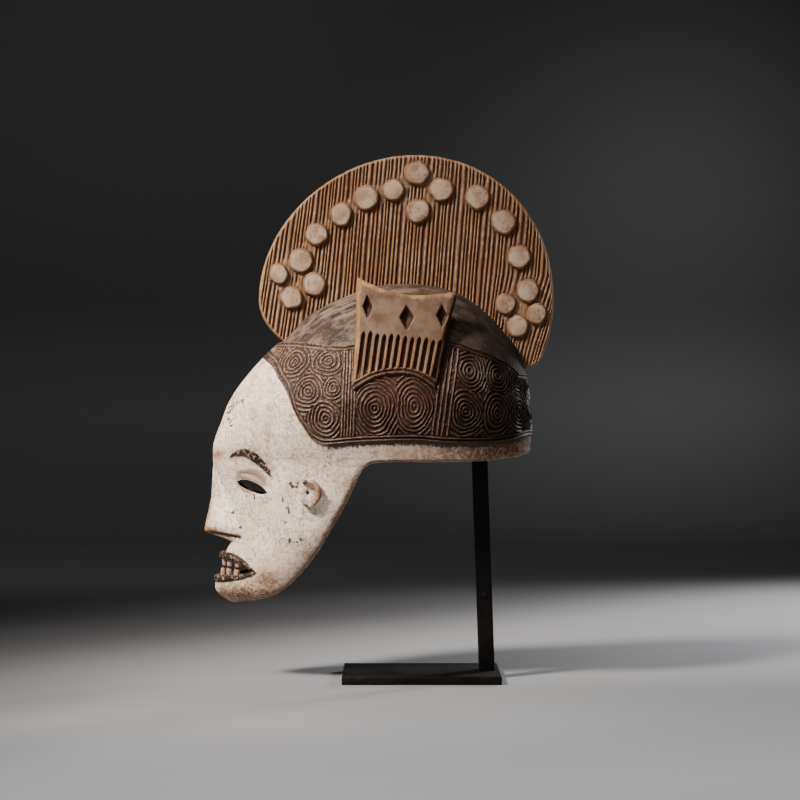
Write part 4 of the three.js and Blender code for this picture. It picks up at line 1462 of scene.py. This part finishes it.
# Wood grain that runs up the block.
def grainGroup():
    tree, given, out = newGroup("grain", {"Scale": 100.0}, ["Tone", "Height"])
    upright = (1.0, 1.0, 0.09)
    broad = noise(tree, given["Scale"], 4.0, 0.6, 0.4, upright)
    fine = noise(tree, times(tree, given["Scale"], 5.0), 3.0, 0.7, 0.0, upright)
    tone = weighed(tree, (broad, 0.6), (fine, 0.4))
    feed(tree, out["Tone"], ramp(tree, tone, 0.32, 0.68))
    feed(tree, out["Height"], tone)
    return tree


# Fine dry cracks in a paint layer.
def crackleGroup():
    tree, given, out = newGroup("crackle", {"Scale": 150.0, "Share": 0.5}, ["Lines"])
    inputs = {"Vector": objectPlace(tree), "Scale": 120.0}
    soft = fedNode(tree, "ShaderNodeTexNoise", inputs).outputs["Color"]
    shift = vectorCalc(tree, "SCALE", {0: soft, "Scale": 0.01})
    place = objectPlace(tree, (1.0, 1.0, 0.6))
    place = vectorCalc(tree, "ADD", {0: place, 1: shift})
    inputs = {"Vector": place, "Scale": given["Scale"]}
    cells = fedNode(tree, "ShaderNodeTexVoronoi", inputs, feature="DISTANCE_TO_EDGE")
    thin = ramp(tree, cells.outputs["Distance"], 0.0, 0.035, 1.0, 0.0)
    where = ramp(tree, noise(tree, 34.0, 2.0), 0.5, 0.62)
    feed(tree, out["Lines"], times(tree, thin, where, given["Share"]))
    return tree


# Specks of dirt and soot: few and dark where Share is small.
def speckGroup():
    tree, given, out = newGroup("specks", {"Scale": 400.0, "Share": 0.3}, ["Mask"])
    spots = noise(tree, given["Scale"], 4.0, 0.7)
    patches = noise(tree, times(tree, given["Scale"], 0.12), 2.0)
    level = weighed(tree, (spots, 0.65), (patches, 0.35))
    low = calc(tree, "MULTIPLY_ADD", given["Share"], -0.3, 0.66)
    feed(tree, out["Mask"], ramp(tree, level, low, calc(tree, "ADD", low, 0.06)))
    return tree


groups = {
    "flake": flakeGroup(),
    "grain": grainGroup(),
    "crackle": crackleGroup(),
    "specks": speckGroup(),
}


def useGroup(tree, name, **values):
    return fedNode(tree, "ShaderNodeGroup", values, node_tree=groups[name]).outputs


def blend(tree, share, low, high):
    return fedNode(tree, "ShaderNodeMix", {0: share, 6: low, 7: high}, data_type="RGBA").outputs[2]


# Lays coats over a colour, each with its share.
def coated(tree, colour, *coats):
    for share, coat in coats:
        colour = blend(tree, share, colour, coat)
    return colour


def pointMark(tree, name):
    return addNode(tree, "ShaderNodeAttribute", attribute_name=name).outputs["Fac"]


def newMaterial(name, gloss=0.25):
    material = bpy.data.materials.new(name)
    material.use_nodes = True
    tree = material.node_tree
    tree.nodes.clear()
    shader = fedNode(tree, "ShaderNodeBsdfPrincipled", {"Specular IOR Level": gloss})
    fedNode(tree, "ShaderNodeOutputMaterial", {"Surface": shader.outputs[0]})
    return material, tree, shader


def dress(tree, shader, colour, roughness, height=None, strength=0.5, distance=0.0006):
    feed(tree, shader.inputs["Base Color"], colour)
    feed(tree, shader.inputs["Roughness"], roughness)
    if height is not None:
        inputs = {"Strength": strength, "Distance": distance, "Height": height}
        feed(tree, shader.inputs["Normal"], fedNode(tree, "ShaderNodeBump", inputs).outputs[0])


def placeParts(tree):
    apart = fedNode(tree, "ShaderNodeSeparateXYZ", {0: objectPlace(tree)}).outputs
    return apart["X"], apart["Y"], apart["Z"]


# Painted shade that darkens the colour round the back of the head, which is turned away from the light.
def paintedShadeTowardsBack(tree, share):
    return ramp(tree, placeParts(tree)[1], 0.035, 0.125, 0.0, share)


# White kaolin over wood, with pigment, worn places, dirt and painted shade from the piece's marks.
def makeClay():
    material, tree, shader = newMaterial("kaolinPaint")
    clay, pigment, cap, wood = (paints[name] for name in ("clay", "pigment", "cap", "wood"))
    broad = noise(tree, 22.0, 4.0, 0.6)
    cloudy = noise(tree, 85.0, 5.0, 0.7)
    fine = noise(tree, 260.0, 5.0, 0.65)
    mottle = noise(tree, 330.0, 5.0, 0.75)
    thread = noise(tree, 420.0, 3.0, 0.7, 0.0, (1.0, 1.0, 0.12))
    across = noise(tree, 420.0, 3.0, 0.7, 0.0, (0.12, 0.12, 1.0))
    weft = calc(tree, "MAXIMUM", ramp(tree, thread, 0.56, 0.68), ramp(tree, across, 0.57, 0.69))
    crackle = useGroup(tree, "crackle", Scale=130.0, Share=0.85)["Lines"]
    specks = useGroup(tree, "specks", Scale=420.0, Share=0.36)["Mask"]
    grain = useGroup(tree, "grain", Scale=90.0)
    wear = pointMark(tree, "wear")
    worn = useGroup(tree, "flake", Mask=wear, Scale=190.0, Amount=0.9)["Mask"]
    cloud = ramp(tree, noise(tree, 95.0, 5.0, 0.7), 0.32, 0.68, 0.35, 1.5)
    thin = calc(tree, "MULTIPLY", times(tree, wear, cloud), 1.15, clamp=True)
    tone = pointMark(tree, "tone")
    shaded = useGroup(tree, "flake", Mask=tone, Scale=120.0, Amount=0.5)["Mask"]
    # the dirt coat also lays the painted shade that the head's marks hold
    dirt = useGroup(tree, "flake", Mask=pointMark(tree, "soil"), Scale=420.0, Amount=1.9)["Mask"]
    painted = useGroup(tree, "flake", Mask=pointMark(tree, "pigment"), Scale=420.0, Amount=2.0)["Mask"]
    brushed = coated(
        tree, pigment["deep"],
        (ramp(tree, mottle, 0.53, 0.6), pigment["chalky"]),
        (times(tree, ramp(tree, cloudy, 0.5, 0.62), 0.4), pigment["brown"]),
    )
    streaks = noise(tree, 150.0, 5.0, 0.72, 0.2, (1.0, 0.22, 0.4))
    patches = noise(tree, 28.0, 3.0, 0.6, 0.0, (1.0, 0.6, 1.0))
    # the cap: dust streaks and brown patches under a painted shade that grows towards the back
    dusty = coated(
        tree, cap["deep"],
        (ramp(tree, streaks, 0.42, 0.6), cap["dust"]),
        (times(tree, ramp(tree, patches, 0.46, 0.66), 0.28), cap["brown"]),
        (times(tree, tone, 0.7), cap["paintedShade"]),
        (times(tree, ramp(tree, mottle, 0.56, 0.64), 0.4), cap["chalk"]),
        (paintedShadeTowardsBack(tree, 0.5), cap["back"]),
    )
    deepWood = blend(tree, grain["Tone"], wood["inner"], wood["innerPale"])
    colour = coated(
        tree, clay["pale"],
        (ramp(tree, broad, 0.36, 0.62), clay["warm"]),
        (times(tree, ramp(tree, cloudy, 0.5, 0.68), 0.7), clay["grey"]),
        (times(tree, ramp(tree, fine, 0.5, 0.64), 0.8), clay["grey"]),
        (times(tree, weft, 0.66), clay["thread"]),
        (crackle, clay["crack"]),
        (times(tree, specks, 0.55), clay["speck"]),
        (times(tree, shaded, 0.95), clay["shade"]),
        (thin, clay["thin"]),
        (times(tree, worn, 0.85), blend(tree, grain["Tone"], wood["mid"], wood["light"])),
        (times(tree, dirt, 0.92), clay["dirt"]),
        (painted, brushed),
        (ramp(tree, pointMark(tree, "cap"), 0.3, 0.7), dusty),
        (ramp(tree, pointMark(tree, "inside"), 0.4, 0.6), deepWood),
    )
    height = weighed(tree, (crackle, -0.8), (fine, 0.5), (weft, -0.35), (grain["Height"], 0.5))
    dress(tree, shader, colour, ramp(tree, worn, 0.0, 1.0, 0.72, 0.5), height, 0.45)
    return material


# The coiffure's pigment: dark in the grooves and rubbed light on the ridges, with painted shade round the
# back.
def makeDarkWood():
    material, tree, shader = newMaterial("darkPigment")
    hair = paints["hair"]
    broad = noise(tree, 30.0, 4.0, 0.6)
    fine = noise(tree, 420.0, 4.0, 0.65)
    patches = noise(tree, 75.0, 4.0, 0.7)
    tone = pointMark(tree, "tone")
    dryGroove = blend(tree, ramp(tree, fine, 0.4, 0.6), hair["grooveDry"], hair["grooveDust"])
    groove = coated(
        tree, hair["groove"],
        (ramp(tree, broad, 0.4, 0.6), hair["grooveWarm"]),
        (tone, dryGroove),
    )
    ridge = coated(
        tree, hair["ridge"], (ramp(tree, broad, 0.35, 0.65), hair["ridgeWarm"]), (tone, hair["ridgeDry"]))
    rubbed = times(
        tree,
        ramp(tree, pointMark(tree, "relief"), 0.4, 0.95),
        ramp(tree, fine, 0.32, 0.58),
        ramp(tree, patches, 0.34, 0.58, 0.5, 1.0),
        calc(tree, "MULTIPLY_ADD", pointMark(tree, "soil"), -0.5, 1.0),
    )
    dust = useGroup(tree, "specks", Scale=300.0, Share=0.4)["Mask"]
    dust = times(tree, dust, calc(tree, "MULTIPLY_ADD", tone, 0.3, 0.12))
    colour = coated(
        tree, groove,
        (rubbed, ridge),
        (dust, hair["dust"]),
        (paintedShadeTowardsBack(tree, 0.55), hair["back"]),
    )
    height = weighed(tree, (useGroup(tree, "grain", Scale=110.0)["Height"], 0.5), (fine, 0.6))
    dress(tree, shader, colour, ramp(tree, rubbed, 0.0, 1.0, 0.62, 0.48), height)
    return material


# The crest's bare brown wood with clay left on its ridges, and a painted shadow round the discs.
def makeCrestWood():
    material, tree, shader = newMaterial("flutedWood", 0.35)
    wood = paints["crest"]
    relief = pointMark(tree, "relief")
    grain = useGroup(tree, "grain", Scale=120.0)
    broad = noise(tree, 16.0, 3.0, 0.6)
    fine = noise(tree, 330.0, 4.0, 0.65, 0.0, (1.0, 1.0, 0.35))
    ridge = coated(
        tree, wood["ridge"],
        (grain["Tone"], wood["ridgePale"]),
        (ramp(tree, broad, 0.42, 0.62), blend(tree, fine, wood["dry"], wood["dryPale"])),
    )
    chalk = useGroup(tree, "specks", Scale=150.0, Share=0.55)["Mask"]
    chalk = times(tree, chalk, ramp(tree, relief, 0.5, 0.95))
    edge = useGroup(tree, "flake", Mask=pointMark(tree, "wear"), Scale=120.0, Amount=1.0)["Mask"]
    colour = coated(
        tree, blend(tree, fine, wood["groove"], wood["groovePale"]),
        (ramp(tree, relief, 0.12, 0.8), ridge),
        (times(tree, chalk, 0.34), wood["chalk"]),
        (times(tree, pointMark(tree, "soil"), 0.6), wood["soil"]),
        (times(tree, edge, 0.35), wood["edge"]),
    )
    dress(tree, shader, colour, 0.6, weighed(tree, (grain["Height"], 0.8), (fine, 0.6)))
    return material


# Clay on the discs and combs, worn to wood along the edges, brown in the cuts, with painted shade in the
# comb's deeper cuts, on its right edge and over its back.
def makeTrimClay(name, finish):
    material, tree, shader = newMaterial(name)
    own, trim, wood = paints[finish], paints["trim"], paints["wood"]
    broad = noise(tree, 60.0, 4.0, 0.6)
    fine = noise(tree, 320.0, 5.0, 0.65)
    grain = useGroup(tree, "grain", Scale=110.0)
    worn = useGroup(tree, "flake", Mask=pointMark(tree, "wear"), Scale=160.0, Amount=0.9)["Mask"]
    dirt = useGroup(tree, "specks", Scale=240.0, Share=0.35)["Mask"]
    teeth = times(tree, pointMark(tree, "teeth"), ramp(tree, grain["Tone"], 0.2, 0.8, 0.25, 0.6))
    smear = ramp(tree, fine, 0.25, 0.7, 0.6, 1.1)
    smear = calc(tree, "MULTIPLY", pointMark(tree, "tone"), smear, clamp=True)
    colour = coated(
        tree, own["pale"],
        (ramp(tree, broad, 0.38, 0.64), own["warm"]),
        (times(tree, ramp(tree, fine, 0.48, 0.72), 0.55), own["dust"]),
        (times(tree, worn, 0.85), blend(tree, grain["Tone"], wood["mid"], own["edge"])),
        (teeth, wood["light"]),
        (times(tree, dirt, 0.5), trim["dirt"]),
        (smear, trim["smear"]),
        (ramp(tree, pointMark(tree, "soil"), 0.05, 0.6), blend(tree, fine, own["cut"], trim["cutPale"])),
    )
    dress(tree, shader, colour, 0.62, weighed(tree, (grain["Height"], 0.6), (fine, 0.6)), 0.45)
    return material


# Blackened steel bar with faint mill marks and rubbed patches.
def makeSteel():
    material, tree, shader = newMaterial("blackenedSteel")
    metal = paints["steel"]
    marks = noise(tree, 160.0, 5.0, 0.7, 0.0, (1.0, 1.0, 0.2))
    patches = noise(tree, 28.0, 3.0, 0.6)
    rubbed = useGroup(tree, "specks", Scale=180.0, Share=0.2)["Mask"]
    colour = coated(
        tree, metal["dark"],
        (ramp(tree, patches, 0.4, 0.65), metal["pale"]),
        (times(tree, rubbed, 0.4), metal["rubbed"]),
    )
    shader.inputs["Metallic"].default_value = 0.55
    dress(tree, shader, colour, ramp(tree, marks, 0.3, 0.7, 0.42, 0.62), marks, 0.25, 0.0003)
    return material


view = {
    "place": (2.35, 0.0216, 0.2863),
    "lens": 102.67,
}

# soft spots: place, radius, power, cone and where they aim
light = {
    "key": {"place": (1.2, -1.5, 1.95), "size": 0.26, "power": 760, "tint": (1.0, 0.935, 0.86), "cone": 25,
            "blend": 1.0, "aim": (0.0, -0.23, 0.345)},
    "fill": {"place": (2.2, -0.5, 0.7), "size": 0.6, "power": 9, "tint": (1.0, 0.96, 0.92), "cone": 60,
             "blend": 0.6, "aim": (0.0, 0.0, 0.3)},
    "edge": {"place": (-1.5, 1.5, 0.9), "size": 0.2, "power": 250, "tint": (0.96, 0.97, 1.0), "cone": 50,
             "blend": 1.0, "aim": (-0.6, 0.62, 0.0)},
    "floor": {"place": (1.5, -0.2, 2.6), "size": 0.7, "power": 165, "tint": (0.98, 0.99, 1.0), "cone": 120,
              "blend": 1.0, "aim": (1.9, 0.1, 0.0)},
    "glow": {"place": (-1.6, 0.9, 1.6), "size": 0.3, "power": 22, "tint": (1.0, 1.0, 1.0), "cone": 48,
             "blend": 1.0, "aim": (-2.75, 0.58, 0.5)},
    "backdrop": {"place": (-1.0, -0.7, 2.2), "size": 0.5, "power": 24, "tint": (1.0, 1.0, 1.0), "cone": 120,
                 "blend": 0.6, "aim": (-2.75, -0.4, 0.45)},
}

# millimetres, and metres for the fade
stage = {
    "near": 3500,
    "back": -2750,
    "curve": 500,
    "tall": 3200,
    "half": 4500,
    # where the floor's painted shade is darkest and where it is pale, along X and a little along Y, in
    # metres
    "dark": -0.85,
    "pale": [-0.14, -0.43],
    "slant": 1.1,
    "world": 0.012,
}


# The floor's paint: pale near the camera, with painted shade that darkens it towards the back and up the
# sweep.
def makeFloorPaint():
    material, tree, shader = newMaterial("floorWithPaintedShade", 0.5)
    grey = paints["floor"]
    x, y, z = placeParts(tree)
    pale = coated(
        tree, grey["middle"],
        (ramp(tree, x, 0.06, 0.66), grey["near"]),
        (times(tree, noise(tree, 3.0, 3.0, 0.5), 0.12), grey["cloud"]),
    )
    dark = coated(
        tree, grey["back"],
        (ramp(tree, x, -1.3, -0.6), grey["dark"]),
        (ramp(tree, z, 0.05, 0.6), grey["wall"]),
        (ramp(tree, z, 0.7, 1.5), grey["high"]),
    )
    start, change = stage["pale"]
    across = calc(tree, "MULTIPLY_ADD", y, stage["slant"], x)
    far = ramp(tree, across, stage["dark"], calc(tree, "MULTIPLY_ADD", y, change, start), 1.0, 0.0)
    dress(tree, shader, blend(tree, far, pale, dark), 0.6)
    return material


steel = {"ease": 0.7, "easeSteps": 3, "weld": 1e-5}


# A steel piece with its edges eased, over the frame's own.
def makeSteelPiece(node, name, material):
    piece = bpy.data.objects.new(name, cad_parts[node].data.copy())
    bpy.context.scene.collection.objects.link(piece)
    weld(piece, steel["weld"])
    flatten = piece.modifiers.new("flatten", "DECIMATE")
    flatten.decimate_type = "DISSOLVE"
    ease = piece.modifiers.new("ease", "BEVEL")
    ease.width = steel["ease"] * mm
    ease.segments = steel["easeSteps"]
    finished(piece)
    piece.data.materials.clear()
    piece.data.materials.append(material)
    piece.data.polygons.foreach_set("material_index", np.zeros(len(piece.data.polygons), np.int32))
    return shadeSmooth(piece, 40)


def belongs(piece, node):
    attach(piece, "root")
    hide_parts(node)


def aimAt(thing, place):
    away = Vector(thing.location) - Vector(place)
    thing.rotation_euler = away.to_track_quat("Z", "Y").to_euler()


def makeLight(name, settings):
    data = bpy.data.lights.new(name, "SPOT")
    data.shadow_soft_size = settings["size"]
    data.energy = settings["power"]
    data.color = settings["tint"]
    data.spot_size = math.radians(settings["cone"])
    data.spot_blend = settings["blend"]
    lamp = bpy.data.objects.new(name, data)
    lamp.location = settings["place"]
    bpy.context.scene.collection.objects.link(lamp)
    aimAt(lamp, settings["aim"])


# The floor runs back and curves up into a backdrop, well behind every view's camera.
def makeStage():
    a = np.linspace(0, math.pi / 2, 13)
    back, curve = stage["back"], stage["curve"]
    bend = np.stack([back + curve * (1 - np.sin(a)), curve * (1 - np.cos(a))], 1)
    profile = np.concatenate([[[stage["near"], 0]], bend, [[back, stage["tall"]]]])
    places = np.concatenate([np.insert(profile, 1, end, axis=1) for end in (-stage["half"], stage["half"])])
    count = len(profile)
    faces = [[i, i + 1, count + i + 1, count + i] for i in range(count - 1)]
    floor = makeMesh("floor", places, faces, {}, makeFloorPaint())
    floor.data.shade_smooth()
    world = bpy.data.worlds.new("surroundings")
    world.use_nodes = True
    world.node_tree.nodes["Background"].inputs["Color"].default_value = (stage["world"],) * 3 + (1.0,)
    bpy.context.scene.world = world
    for name, settings in light.items():
        makeLight(name + "Light", settings)
    camera = bpy.data.objects.new("camera", bpy.data.cameras.new("camera"))
    camera.location = view["place"]
    camera.rotation_euler = (math.pi / 2, 0, math.pi / 2)
    camera.data.lens = view["lens"]
    bpy.context.scene.collection.objects.link(camera)
    bpy.context.scene.camera = camera


makeStage()
print("stage made")

materials = {
    "clay": makeClay(),
    "dark": makeDarkWood(),
    "crest": makeCrestWood(),
    "disc": makeTrimClay("discClay", "disc"),
    "comb": makeTrimClay("combClay", "comb"),
    "steel": makeSteel(),
}
print("materials made")

maskHead = makeHead()
runTree(maskHead, trees["handCut"], Material=materials["clay"], **head["tool"])
shadeSmooth(maskHead, 40)

carved = [
    maskHead,
    makeCoiffure(1, materials["dark"]),
    makeCoiffure(-1, materials["dark"]),
    makeCrest(materials["crest"]),
    makeDiscs(materials["disc"]),
    makeComb(1, materials["comb"]),
    makeComb(-1, materials["comb"]),
]
for piece in carved:
    belongs(piece, "mask")

belongs(makeSteelPiece("stand_post", "post_bar", materials["steel"]), "stand_post")
belongs(makeSteelPiece("stand_base", "foot_plate", materials["steel"]), "stand_base")
print("stand made")
